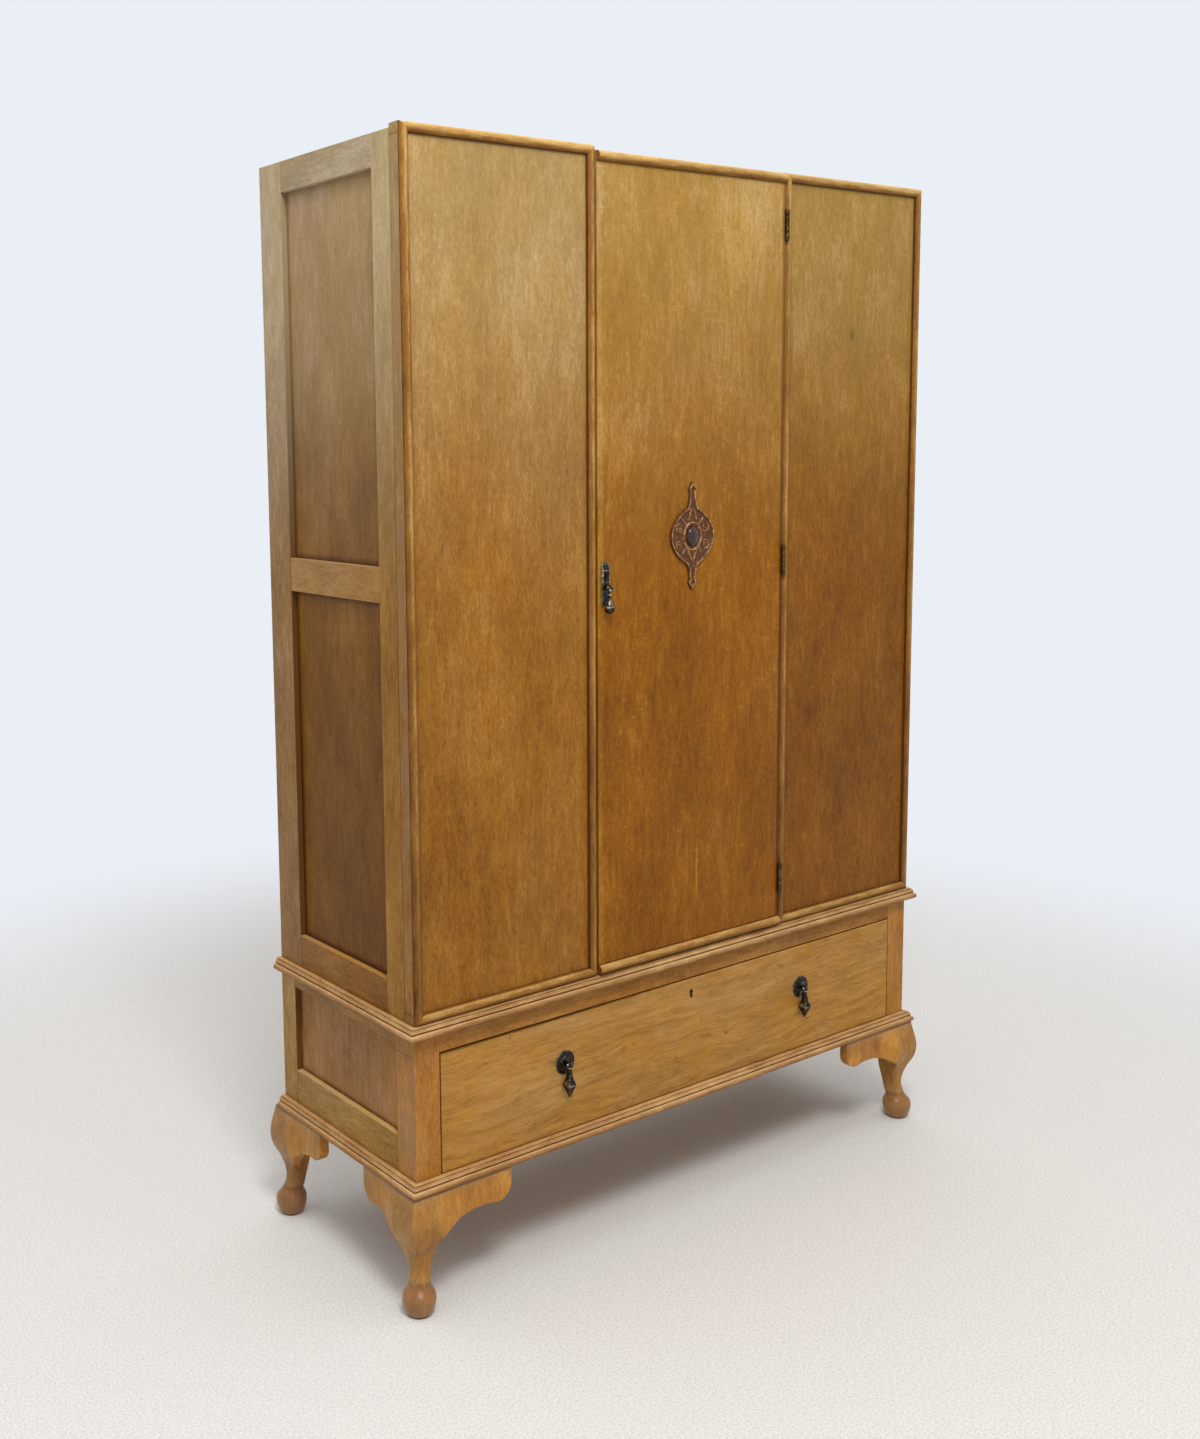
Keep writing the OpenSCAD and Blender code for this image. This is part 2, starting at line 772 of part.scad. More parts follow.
// Door's drop: a thin neck that flares to a bell with a round bottom
door_drop_profile = concat([[0, bridge_z[0] + 1], [2.6, bridge_z[0] + 1], [2.2, -12], [3, -22]],
    [for (a = [0 : 15 : 90])
        [door_drop_r * cos(a), -door_drop_l + 7 * (1 - sin(a))]]);

// Drawer pull's drop: a neck, a wide belly and a point
pull_drop_profile = concat([[0, bridge_z[0] + 1], [3, bridge_z[0] + 1], [2.6, -12], [4.5, -21]],
    [for (a = [-60 : 20 : 60])
        [pull_drop_r * cos(a), -36 + 9 * sin(-a)]],
    [[2.6, 4 - pull_drop_l], [0, -pull_drop_l]]);

module door_handle_plate() {
    r = handle_w / 2;
    color("#4f4326") translate([handle_x, door_y, handle_bottom]) difference() {
        union() {
            rotate([90, 0, 0]) linear_extrude(handle_t) {
                translate([-r, 0]) square([handle_w, handle_h - r]);
                translate([0, handle_h - r]) circle(r = r);
            }
            translate([0, -handle_t, handle_pivot_z]) drop_stud();
        }
        translate([0, -handle_t - eps, handle_key_z]) keyhole(handle_t + 2 * eps);
    }
}

module door_handle_drop() {
    color("#4f4326")
        translate([handle_x, door_y - handle_t - pivot_out, handle_bottom + handle_pivot_z])
        drop(door_drop_profile);
}

// Carved ornament: a cartouche of four round lobes with a pointed finial above and below.
// The finial's side goes down from its tip, as half width and depth.
ornament_mid = [ornament_x, door_y, base_top + ornament_z];
lobe_r = 30;
lobe_z = 10;
finial_side = [[8.5, 14], [5, 24], [8.5, 31], [16, 42], [31, 58]];

module ornament_lobes(inset) {
    for (x = [-1, 1], z = [-1, 1])
        translate([x * (ornament_r - lobe_r), z * lobe_z]) circle(r = lobe_r - inset);
}

module ring(r) {
    difference() {
        circle(r = r);
        circle(r = r - rim_w);
    }
}

module finials() {
    last = len(finial_side) - 1;
    side = [for (p = finial_side) [p[0], ornament_h / 2 - p[1]]];
    for (s = [0, 1]) mirror([0, s])
        polygon(concat([[0, ornament_h / 2]], side, [for (k = [last : -1 : 0]) [-side[k][0], side[k][1]]]));
}

module door_ornament() {
    boss_r = 13;
    boss_h = ornament_t + 1.4 * ornament_relief;
    scroll_r = 10;
    scroll_at = [29, 19];
    color("#6b3f1c") translate(ornament_mid) rotate([90, 0, 0]) {
        linear_extrude(ornament_t) {
            ornament_lobes(0);
            finials();
        }
        linear_extrude(ornament_t + ornament_relief) {
            difference() {
                ornament_lobes(0);
                ornament_lobes(rim_w);
            }
            ring(boss_r + rim_w + 1);
            for (x = [-1, 1], z = [-1, 1])
                translate([x * scroll_at[0], z * scroll_at[1]]) ring(scroll_r);
        }
        cylinder(h = boss_h, r1 = boss_r, r2 = boss_r - rim_w);
    }
}

// Base: posts at the corners, framed sides, rails over and under the drawer
module base_joints() {
    thin_panels(base_side_y, [[base_rail_zs[0][1], base_rail_zs[1][0]]], 0);
    tenons(base_side_y, base_rail_zs, tenon_l);
}

module rail_tenons(zs, y) {
    block([-post_x - tenon_l, y[0], zs[0]], [post_x + tenon_l, y[1], zs[1]]);
}

module front_rail_tenons() {
    rail_tenons([opening_top + tenon_inset, base_top - tenon_inset],
        [fy + front_rail_t / 3, fy + front_rail_t * 2 / 3]);
    rail_tenons([leg_h + moulding_h / 4, bearer_top - moulding_h / 4],
        [fy + front_post_d / 4, fy + front_post_d * 3 / 4]);
}

module base_front_posts() {
    color("#a9692c") both_sides() difference() {
        block([post_x, fy, leg_h], [hw, base_side_y[0], base_top]);
        base_joints();
        front_rail_tenons();
        carcase_screw_set(screw_room);
    }
}

module base_back_posts() {
    color("#96673a") both_sides() difference() {
        block([hw - back_post_w, base_side_y[1], leg_h], [hw, by, base_top]);
        base_joints();
        base_back_space(0);
        carcase_screw_set(screw_room);
    }
}

module base_side_rails() {
    color("#9d6d3b") both_sides()
        rails(base_side_y, base_rail_zs, [[base_rail_zs[0][1], base_rail_zs[1][0]]], tenon_l);
}

module base_side_panels() {
    color("#8a5f36") both_sides()
        thin_panels(base_side_y, [[base_rail_zs[0][1], base_rail_zs[1][0]]], groove_room);
}

module base_front_top_rail() {
    color("#a9692c") difference() {
        union() {
            block([-post_x, fy, opening_top], [post_x, fy + front_rail_t, base_top]);
            intersection() {
                front_rail_tenons();
                block([-hw, fy, opening_top], [hw, by, base_top]);
            }
        }
        drawer_bolt_mortise();
    }
}

module base_front_bottom_rail() {
    color("#a9692c") {
        block([-post_x, fy, leg_h], [post_x, fy + front_post_d, bearer_top]);
        intersection() {
            front_rail_tenons();
            block([-hw, fy, leg_h], [hw, by, bearer_top]);
        }
    }
}

module base_back_space(room) {
    block([-hw + back_post_w - rebate_w, by - back_t, leg_h],
        [hw - back_post_w + rebate_w, by + (room > 0 ? 0 : eps), base_top]);
}

module base_back_panel() {
    color("#b08a5a") base_back_space(1);
}

// Runners under the drawer's sides, guides beside them, strips over them and stops in front
module drawer_runners() {
    color("#9a7444") both_sides() {
        block([inner_x - runner_w, base_side_y[0], drawer_z[0] - runner_h],
            [inner_x, base_side_y[1], drawer_z[0]]);
        block([drawer_x + guide_gap, base_side_y[0], drawer_z[0] + glue_line],
            [inner_x, base_side_y[1], drawer_z[0] + guide_h]);
        block([inner_x - runner_w, base_side_y[0], opening_top],
            [inner_x, base_side_y[1], opening_top + runner_h]);
        block([stop_x, fy + drawer_front_t + stop_gap, bearer_top],
            [stop_x + stop_w, base_side_y[0], bearer_top + stop_h]);
    }
}

// Mouldings: a round shoulder, a step and a round nose, as distance out and height below the top
nose_x = moulding_out - nose_r;
shoulder = [nose_x + shoulder_over, moulding_h - 2 * nose_r - step_h];
shoulder_r = min(shoulder[0] - shoulder_over, shoulder[1]);

module moulding_outline() {
    difference() {
        polygon([[0, 0], [shoulder[0], 0], [shoulder[0], -shoulder[1] - step_h],
            [nose_x, -shoulder[1] - step_h], [nose_x, -moulding_h], [0, -moulding_h]]);
        translate([shoulder[0] - shoulder_r, -shoulder_r]) difference() {
            square(2 * shoulder_r);
            circle(r = shoulder_r);
        }
    }
    translate([nose_x, -moulding_h + nose_r]) circle(r = nose_r);
}

module moulding_plan(points) {
    translate([0, 0, -moulding_h - eps]) linear_extrude(moulding_h + 2 * eps) polygon(points);
}

module moulding(z) {
    out = moulding_out + 1;
    cut = hw - glue_line;
    translate([0, 0, z]) {
        intersection() {
            translate([-hw - out, fy, 0]) mirror([0, 1, 0]) rotate([90, 0, 90])
                linear_extrude(2 * hw + 2 * out) moulding_outline();
            moulding_plan([[-cut, fy], [cut, fy], [cut + out, fy - out], [-cut - out, fy - out]]);
        }
        both_sides() intersection() {
            translate([hw, by, 0]) rotate([90, 0, 0])
                linear_extrude(carcase_d + out) moulding_outline();
            moulding_plan([[hw, fy], [hw + out, fy - out], [hw + out, by], [hw, by]]);
        }
    }
}

module waist_moulding() {
    color("#b1742f") moulding(base_top);
}

module base_moulding() {
    color("#b1742f") moulding(bearer_top);
}

// Legs, about the carcase's corner on the floor, with X and Y inwards
function ball_row(z, h) = [z, ball_in, ball_r * sqrt(1 - pow((ball_z - z) / h, 2)), 2];
leg_rows = concat(
    [for (k = [0 : 4]) ball_row(ball_z * k / 5, ball_low)],
    [for (k = [0 : 4]) ball_row(ball_z + ball_top * k / 4, ball_high)],
    shank_rows,
    [for (r = knee_rows) [leg_h - r[0], r[1], r[2], r[3]]]);

function ring_r(a, r) = r[2] / pow(pow(abs(cos(a)), r[3]) + pow(abs(sin(a)), r[3]), 1 / r[3]);
function leg_points(rows) = [for (r = rows, j = [0 : leg_sides - 1])
    let (a = 360 * j / leg_sides) [r[1] + ring_r(a, r) * cos(a), r[1] + ring_r(a, r) * sin(a), r[0]]];
function leg_faces(n, rings) = concat([[for (j = [0 : n - 1]) j]],
    [[for (j = [n - 1 : -1 : 0]) (rings - 1) * n + j]],
    [for (i = [0 : rings - 2], j = [0 : n - 1])
        let (a = i * n + j, b = i * n + (j + 1) % n) [a, a + n, b + n, b]]);

module leg_body() {
    polyhedron(leg_points(leg_rows), leg_faces(leg_sides, len(leg_rows)), convexity = 4);
}

// An ear from the leg to l: its underside is an arch that runs into a round lobe at the end.
// lobe is the lobe's radius and depth below the top, arch is the arch's middle, across and down.
module ear(l, lobe, arch) {
    lobe_at = [l - lobe[0], leg_h - lobe[1]];
    arch_at = [arch[0], leg_h - arch[1]];
    rotate([90, 0, 0]) linear_extrude(ear_t) {
        difference() {
            translate([ear_start, arch_at[1]]) square([lobe_at[0] - ear_start, leg_h - arch_at[1]]);
            translate(arch_at) circle(r = norm(lobe_at - arch_at) - lobe[0], $fn = 96);
        }
        translate(lobe_at) circle(r = lobe[0]);
        translate(lobe_at - [2, 0]) square([lobe[0] + 2, lobe[1]]);
    }
}

module leg(corner, front) {
    color("#a2642c") translate([corner[0] * hw, corner[1] > 0 ? by : fy, 0])
        mirror([corner[0] > 0 ? 1 : 0, 0, 0]) mirror([0, corner[1] > 0 ? 1 : 0, 0]) {
            leg_body();
            mirror([1, -1, 0]) translate([0, ear_t - ear_out, 0])
                ear(side_ear_l, side_lobe, side_arch);
            if (front) translate([0, ear_t - ear_out, 0]) ear(front_ear_l, front_lobe, front_arch);
        }
}

// Dovetails along Y and Z, cut the same in the sides and in what they enter
module tails(y_end, y_root) {
    pitch = (drawer_side_top - drawer_z[0]) / dovetails;
    wide = pitch * 0.7;
    narrow = pitch * 0.5;
    for (k = [0 : dovetails - 1]) {
        z = drawer_z[0] + (k + 0.5) * pitch;
        translate([drawer_in_x, 0, 0]) rotate([90, 0, 90]) linear_extrude(drawer_side_t)
            polygon([[y_end, z - wide / 2], [y_end, z + wide / 2],
                [y_root, z + narrow / 2], [y_root, z - narrow / 2]]);
    }
}

module front_tails() {
    tails(fy + drawer_front_t - dovetail_d, fy + drawer_front_t);
}

module back_tails() {
    tails(drawer_back_y[1], drawer_back_y[0]);
}

module drawer_bottom_space(room) {
    block([-drawer_in_x - drawer_groove_d + room, fy + drawer_front_t - drawer_groove_d + room,
            drawer_floor[0]],
        [drawer_in_x + drawer_groove_d - room, drawer_back_y[1], drawer_floor[1]]);
}

module drawer_front() {
    color("#b58a48") difference() {
        block([-drawer_x, fy, drawer_z[0]], [drawer_x, fy + drawer_front_t, drawer_z[1]]);
        both_sides() front_tails();
        drawer_bottom_space(0);
        drawer_case_body(fit_room);
        translate([drawer_key_x, fy - eps, drawer_key_z])
            keyhole(drawer_case_y - fy + 2 * eps, key_wall + fit_room);
    }
}

module drawer_sides() {
    color("#c0a070") both_sides() difference() {
        union() {
            block([drawer_in_x, fy + drawer_front_t, drawer_z[0]],
                [drawer_x, drawer_back_y[0], drawer_side_top]);
            front_tails();
            back_tails();
        }
        drawer_bottom_space(0);
    }
}

module drawer_back() {
    color("#c0a070") difference() {
        block([-drawer_x, drawer_back_y[0], drawer_floor[1]],
            [drawer_x, drawer_back_y[1], drawer_side_top - drawer_back_drop]);
        both_sides() back_tails();
    }
}

module drawer_bottom() {
    color("#c8ab7c") drawer_bottom_space(groove_room / 2);
}

// Drawer lock: a case in the front's back, a bolt that rises and a lined keyhole
key_wall = 1.2;

module drawer_case_body(room) {
    out = room > 0 ? eps : 0;
    block([drawer_key_x - drawer_case_w / 2 - room, drawer_case_y - room,
            drawer_z[1] - drawer_case_h - room],
        [drawer_key_x + drawer_case_w / 2 + room, fy + drawer_front_t + out, drawer_z[1] + out]);
}

module drawer_bolt_block(room) {
    block([drawer_key_x - bolt_w / 2 - room, drawer_bolt_y[0] - room,
            drawer_z[1] - drawer_bolt_l - room],
        [drawer_key_x + bolt_w / 2 + room, drawer_bolt_y[1] + room, drawer_z[1] + room]);
}

module drawer_bolt_mortise() {
    translate([0, 0, drawer_top_gap + drawer_mortise_d]) drawer_bolt_block(bolt_room);
}

module drawer_lock_case() {
    color("#8c7440") difference() {
        drawer_case_body(0);
        drawer_bolt_block(bolt_room);
        translate([drawer_key_x, drawer_case_y - eps, drawer_key_z]) keyhole(case_wall + 2 * eps);
    }
}

module drawer_lock_bolt() {
    color("#a08848") drawer_bolt_block(0);
}

module drawer_escutcheon() {
    color("#8c7440") translate([drawer_key_x, fy, drawer_key_z]) difference() {
        keyhole(drawer_case_y - fy, key_wall);
        translate([0, -eps, 0]) keyhole(drawer_case_y - fy + 2 * eps);
    }
}

module pull_plates() {
    color("#4f4326") both_sides() translate([pull_x, fy, pull_z]) {
        rotate([90, 0, 0]) cylinder(h = pull_plate_t, r = pull_plate_r);
        translate([0, -pull_plate_t, 0]) drop_stud();
    }
}

module pull_drop(side) {
    color("#4f4326") translate([side * pull_x, fy - pull_plate_t - pivot_out, pull_z])
        drop(pull_drop_profile);
}

mirror([1, 0, 0]) front_stile();  // left_front_stile
mirror([1, 0, 0]) back_stile();  // left_back_stile
mirror([1, 0, 0]) side_rails();  // left_side_rails
mirror([1, 0, 0]) side_panels();  // left_side_panels
front_stile();  // right_front_stile
back_stile();  // right_back_stile
side_rails();  // right_side_rails
side_panels();  // right_side_panels
top_board();
floor_board();
mirror([1, 0, 0]) back_panel();  // left_back_panel
back_panel();  // right_back_panel
back_muntin();
left_front_board();
right_front_board();
left_front_beads();
right_front_beads();
closing_post();
hinge_post();
hanging_rail();
rail_bearers();
carcase_screws();
lock_strike();
hinge_frame_leaves();
hinge_frame_screws();
hinge_pins();
hinge_door_leaves();
hinge_door_screws();
door_board();
door_beads();
door_ornament();
door_handle_plate();
door_handle_drop();
door_lock_case();
door_lock_bolt();
base_front_posts();
base_back_posts();
base_side_rails();
base_side_panels();
base_front_top_rail();
base_front_bottom_rail();
base_back_panel();
drawer_runners();
waist_moulding();
base_moulding();
leg([-1, -1], true);  // front_left_leg
leg([1, -1], true);  // front_right_leg
leg([-1, 1], false);  // back_left_leg
leg([1, 1], false);  // back_right_leg
drawer_front();
drawer_sides();
drawer_back();
drawer_bottom();
drawer_lock_case();
drawer_lock_bolt();
drawer_escutcheon();
pull_plates();
pull_drop(-1);  // left_pull_drop
pull_drop(1);  // right_pull_drop
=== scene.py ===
"""Looks of a one-door oak wardrobe with a drawer in its base, on four short cabriole legs."""
import math

import bmesh
import bpy
import numpy as np
from mathutils import Matrix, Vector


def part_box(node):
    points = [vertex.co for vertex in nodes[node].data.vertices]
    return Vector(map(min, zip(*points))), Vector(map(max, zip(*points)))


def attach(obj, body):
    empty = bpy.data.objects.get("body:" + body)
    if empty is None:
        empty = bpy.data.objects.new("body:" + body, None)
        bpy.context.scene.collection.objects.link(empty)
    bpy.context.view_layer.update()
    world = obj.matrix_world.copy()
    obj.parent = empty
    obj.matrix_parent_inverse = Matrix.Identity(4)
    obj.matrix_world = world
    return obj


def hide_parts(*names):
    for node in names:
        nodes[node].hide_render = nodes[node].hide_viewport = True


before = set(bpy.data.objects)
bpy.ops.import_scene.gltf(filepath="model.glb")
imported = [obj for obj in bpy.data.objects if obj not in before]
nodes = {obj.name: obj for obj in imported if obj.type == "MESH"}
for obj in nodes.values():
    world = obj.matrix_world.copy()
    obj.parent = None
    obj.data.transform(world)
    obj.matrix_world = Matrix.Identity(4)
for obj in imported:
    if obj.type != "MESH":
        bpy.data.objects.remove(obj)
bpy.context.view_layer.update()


# Camera. It stands a little above the middle of the door, 2.8 m away in front of the left
# corner. Its focal length and the middle of its view are in pixels of a 1200 x 1439 frame.
view_w = 1200
view_h = 1439
focal = 1521.4
view_middle = (426.94, 622.69)
eye = (-1.86162, -2.07025, 1.37633)
eye_turn = -0.61098
eye_tilt = -0.12091
eye_roll = 0.01648

camera_data = bpy.data.cameras.new("camera")
camera_data.sensor_width = 36
camera_data.lens = focal * camera_data.sensor_width / view_h
camera_data.shift_x = (view_w / 2 - view_middle[0]) / view_h
camera_data.shift_y = (view_middle[1] - view_h / 2) / view_h
camera = bpy.data.objects.new("camera", camera_data)
camera.matrix_world = (Matrix.Translation(eye) @ Matrix.Rotation(eye_turn, 4, "Z")
    @ Matrix.Rotation(eye_tilt, 4, "X") @ Matrix.Rotation(eye_roll, 4, "Y")
    @ Matrix.Rotation(math.pi / 2, 4, "X"))
scene = bpy.context.scene
scene.collection.objects.link(camera)
scene.camera = camera
scene.view_settings.view_transform = "Standard"


# Light. A soft lamp hangs high in front of the left corner, and a pale room lights the rest,
# most from overhead. The camera and glossy surfaces see that room plain and pale.
class Shade:
    """A socket of a node tree. Arithmetic on it adds Math nodes, or Vector Math for vectors."""

    def __init__(self, tree, socket=None):
        self.tree = tree
        self.socket = socket

    def node(self, kind, settings, inputs, out=0):
        """Adds a node of a kind, with its settings first and then its sockets' values or links."""
        made = self.tree.nodes.new("ShaderNode" + kind)
        for name, value in settings.items():
            if name == "stops":
                self.set_stops(made.color_ramp.elements, value)
            else:
                setattr(made, name, value)
        for name, value in inputs.items():
            if isinstance(value, Shade):
                self.tree.links.new(value.socket, made.inputs[name])
            else:
                made.inputs[name].default_value = value
        return Shade(self.tree, made.outputs[out] if made.outputs else None)

    def set_stops(self, elements, stops):
        """Gives a colour ramp its stops, each a position and a linear colour."""
        while len(elements) < len(stops):
            elements.new(1)
        for element, (position, colour) in zip(elements, stops):
            element.position = position
            element.color = (*colour, 1)

    def reckon(self, operation, first, second):
        """Adds the Math or Vector Math node of one operation on two values."""
        vector = self.socket.type == "VECTOR"
        terms = [(term, term, term) if vector and isinstance(term, (int, float)) else term
            for term in (first, second)]
        kind = "VectorMath" if vector else "Math"
        return self.node(kind, {"operation": operation}, dict(enumerate(terms)))

    def __add__(self, other):
        return self.reckon("ADD", self, other)

    def __radd__(self, other):
        return self.reckon("ADD", other, self)

    def __sub__(self, other):
        return self.reckon("SUBTRACT", self, other)

    def __rsub__(self, other):
        return self.reckon("SUBTRACT", other, self)

    def __mul__(self, other):
        return self.reckon("MULTIPLY", self, other)

    def __rmul__(self, other):
        return self.reckon("MULTIPLY", other, self)

    def __abs__(self):
        return self.node("Math", {"operation": "ABSOLUTE"}, {0: self})

    def least(self, other):
        """The smaller of two values."""
        return self.reckon("MINIMUM", self, other)

    def most(self, other):
        """The larger of two values."""
        return self.reckon("MAXIMUM", self, other)

    def rise(self, low, high):
        """Goes smoothly from 0 to 1 as this value goes from low to high."""
        settings = {"interpolation_type": "SMOOTHSTEP"}
        return self.node("MapRange", settings, {0: self, 1: low, 2: high})

    def fall(self, low, high):
        """Goes smoothly from 1 to 0 as this value goes from low to high."""
        return 1 - self.rise(low, high)

    def length(self):
        """The length of a vector."""
        return self.node("VectorMath", {"operation": "LENGTH"}, {0: self}, out=1)

    def parts(self):
        """The three parts of a vector."""
        return [self.node("SeparateXYZ", {}, {0: self}, out=k) for k in range(3)]

    def joined(self, parts):
        """The vector of three values."""
        return self.node("CombineXYZ", {}, dict(enumerate(parts)))

    def cloud(self, scale, detail=2.0, rough=0.5, warp=0.0):
        """Noise from 0 to 1, with so many blotches a metre along each part of this vector."""
        inputs = {"Vector": self * scale, "Scale": 1.0, "Detail": detail, "Roughness": rough,
            "Distortion": warp}
        return self.node("TexNoise", {}, inputs)

    def between(self, start, end):
        """The colour at this value on the way from one colour to another."""
        ends = [(*c, 1) if isinstance(c, tuple) else c for c in (start, end)]
        return self.node("Mix", {"data_type": "RGBA"}, {0: self, 6: ends[0], 7: ends[1]}, out=2)

    def toned(self, stops):
        """The colour that a ramp of stops gives this value."""
        return self.node("ValToRGB", {"stops": stops}, {0: self})

    def stained(self, stain):
        """This colour multiplied by another."""
        settings = {"data_type": "RGBA", "blend_type": "MULTIPLY"}
        return self.node("Mix", settings, {0: 1.0, 6: self, 7: stain}, out=2)


def tint(red, green, blue):
    """The linear colour of an 8-bit sRGB colour."""
    return tuple(c / 12.92 if c <= 0.04045 else ((c + 0.055) / 1.055) ** 2.4
        for c in (red / 255, green / 255, blue / 255))


low_light = 0.12
high_light = 1.5
room_light = (0.98, 0.99, 1)
room_seen = tint(234, 239, 246)
glossy_ray = 3
transmitted_ray = 6
lamp_power = 72
lamp_size = 1.0
lamp_place = (-1.3, -2.1, 3.6)
lamp_aim = (0, 0, 0.9)

world = bpy.data.worlds.new("pale_room")
world.use_nodes = True
world.node_tree.nodes.clear()
room = Shade(world.node_tree)
seen = room.node("LightPath", {}, {}, out=0)
for ray in (glossy_ray, transmitted_ray):
    seen = seen.most(room.node("LightPath", {}, {}, out=ray))
upward = room.node("TexCoord", {}, {}, out=0).parts()[2].most(0)
lit_strength = upward * upward * (high_light - low_light) + low_light
lit = room.node("Background", {}, {0: (*room_light, 1), 1: lit_strength})
shown = room.node("Background", {}, {0: (*room_seen, 1), 1: 1.0})
room.node("OutputWorld", {}, {0: room.node("MixShader", {}, {0: seen, 1: lit, 2: shown})})
scene.world = world

lamp_data = bpy.data.lights.new("soft_lamp", "AREA")
lamp_data.energy = lamp_power
lamp_data.size = lamp_size
lamp = bpy.data.objects.new("soft_lamp", lamp_data)
lamp_line = np.array(lamp_place) - np.array(lamp_aim)
lamp_turn = math.atan2(lamp_line[0], -lamp_line[1])
lamp_tilt = math.atan2(np.hypot(lamp_line[0], lamp_line[1]), lamp_line[2])
lamp.matrix_world = (Matrix.Translation(lamp_place) @ Matrix.Rotation(lamp_turn, 4, "Z")
    @ Matrix.Rotation(lamp_tilt, 4, "X"))
scene.collection.objects.link(lamp)


# Floor. A cream carpet with a short pile. Some way off it turns into the colour of the room,
# so that no far edge shows.
floor_half = 14
carpet_pale = tint(235, 233, 229)
carpet_dark = tint(212, 208, 203)
tufts = 260
pile_deep = 0.002
fade_start = 1.3
fade_end = 2.6

floor_mesh = bpy.data.meshes.new("floor")
floor_mesh.from_pydata([(-floor_half, -floor_half, 0), (floor_half, -floor_half, 0),
    (floor_half, floor_half, 0), (-floor_half, floor_half, 0)], [], [(0, 1, 2, 3)])
floor = bpy.data.objects.new("floor", floor_mesh)
scene.collection.objects.link(floor)


def material(name):
    """A new empty material and its node tree's first Shade."""
    made = bpy.data.materials.new(name)
    made.use_nodes = True
    made.node_tree.nodes.clear()
    return made, Shade(made.node_tree)


carpet, pile = material("carpet")
spot = pile.node("TexCoord", {}, {}, out=3)
tuft = spot.cloud(tufts, 3, 0.7)
pile_colour = tuft.rise(0.3, 0.62).between(carpet_dark, carpet_pale)
pile_bump = pile.node("Bump", {}, {"Strength": 0.35, "Distance": pile_deep, "Height": tuft})
pile_surface = pile.node("BsdfDiffuse", {}, {"Color": pile_colour, "Normal": pile_bump})
far_off = spot.length().rise(fade_start, fade_end)
far_surface = pile.node("Emission", {}, {0: (*room_seen, 1), 1: 1.0})
pile_blend = pile.node("MixShader", {}, {0: far_off, 1: pile_surface, 2: far_surface})
pile.node("OutputMaterial", {}, {0: pile_blend})
floor_mesh.materials.append(carpet)


# Legs. Each is one block of wood, cut to a square knee, a round ankle and a ball foot, with an
# arched ear glued to it along each side of the carcase that shows. Stained orange brown.
def skin(name, grids, worn=None, sharp=40):
    """Makes one mesh of closed skins. Each grid holds rows of points. The last column joins
    the first, and the first and last rows are closed, unless they are the same row. Its UV map is
    the distance along the rows and across the columns, in metres. worn holds a value for each
    point of each grid."""
    points = np.vstack([grid.reshape(-1, 3) for grid in grids])
    faces = []
    maps = []
    first = 0
    for grid in grids:
        rows, columns = grid.shape[:2]
        number = first + np.arange(rows * columns).reshape(rows, columns)
        first += rows * columns
        wrapped = np.hstack([number, number[:, :1]])
        closed = np.concatenate([grid, grid[:, :1]], axis=1)
        steps_along = np.linalg.norm(np.diff(closed, axis=0), axis=2).mean(axis=1)
        steps_across = np.linalg.norm(np.diff(closed, axis=1), axis=2).mean(axis=0)
        along = np.concatenate([[0], np.cumsum(steps_along)])
        across = np.concatenate([[0], np.cumsum(steps_across)])
        run = np.stack(np.meshgrid(along, across, indexing="ij"), axis=-1)
        corners = [np.s_[:-1, :-1], np.s_[:-1, 1:], np.s_[1:, 1:], np.s_[1:, :-1]]
        faces += np.stack([wrapped[c] for c in corners], axis=-1).reshape(-1, 4).tolist()
        maps.append(np.stack([run[c] for c in corners], axis=-2).reshape(-1, 2))
        if not np.allclose(grid[0], grid[-1]):
            for end in (0, -1):
                faces.append(number[end].tolist())
                maps.append(run[end, :-1])
    mesh = bpy.data.meshes.new(name)
    mesh.from_pydata(points, [], faces)
    mesh.uv_layers.new(name="run").data.foreach_set("uv", np.vstack(maps).ravel())
    if worn is not None:
        values = np.concatenate([rubbed.ravel() for rubbed in worn])
        mesh.attributes.new("worn", "FLOAT", "POINT").data.foreach_set("value", values)
    clean = bmesh.new()
    clean.from_mesh(mesh)
    bmesh.ops.remove_doubles(clean, verts=clean.verts, dist=1e-6)
    bmesh.ops.recalc_face_normals(clean, faces=clean.faces)
    clean.to_mesh(mesh)
    clean.free()
    mesh.shade_smooth()
    mesh.set_sharp_from_angle(angle=math.radians(sharp))
    made = bpy.data.objects.new(name, mesh)
    scene.collection.objects.link(made)
    return made


carcase_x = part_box("left_front_board")[0][0]
front_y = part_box("left_front_board")[0][1]
leg_proud = 0.0233
back_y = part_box("back_left_leg")[1][1] - leg_proud
leg_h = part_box("base_front_posts")[0][2]

ball_r = 0.0275
ball_z = 0.028
ball_low = 0.037
ball_high = 0.022
# Height, middle inwards from the carcase's corner, half width and squareness, from the ball up
leg_rows = np.array([(0.034, 0.0042, 0.0182, 2), (0.046, 0.0062, 0.0184, 2),
    (0.056, 0.0090, 0.0180, 2), (0.066, 0.0110, 0.0175, 2), (0.078, 0.0120, 0.0175, 2.4),
    (0.090, 0.0119, 0.0182, 4), (0.102, 0.0112, 0.0198, 8), (0.112, 0.0098, 0.0222, 13),
    (0.122, 0.0074, 0.0250, 18), (0.134, 0.0057, 0.0268, 22), (0.150, 0.0050, 0.0275, 24),
    (0.166, 0.0060, 0.0265, 24), (0.184, 0.0080, 0.0245, 24), (leg_h, 0.0095, 0.0230, 24)])
leg_rings = 180
leg_columns = 128
rings_blended = 4
ear_out = 0.012
ear_in = 0.006
ear_start = 0.016
ear_lowest = 0.094
ear_sections = 110
ear_heights = 24
swell_end = 0.085
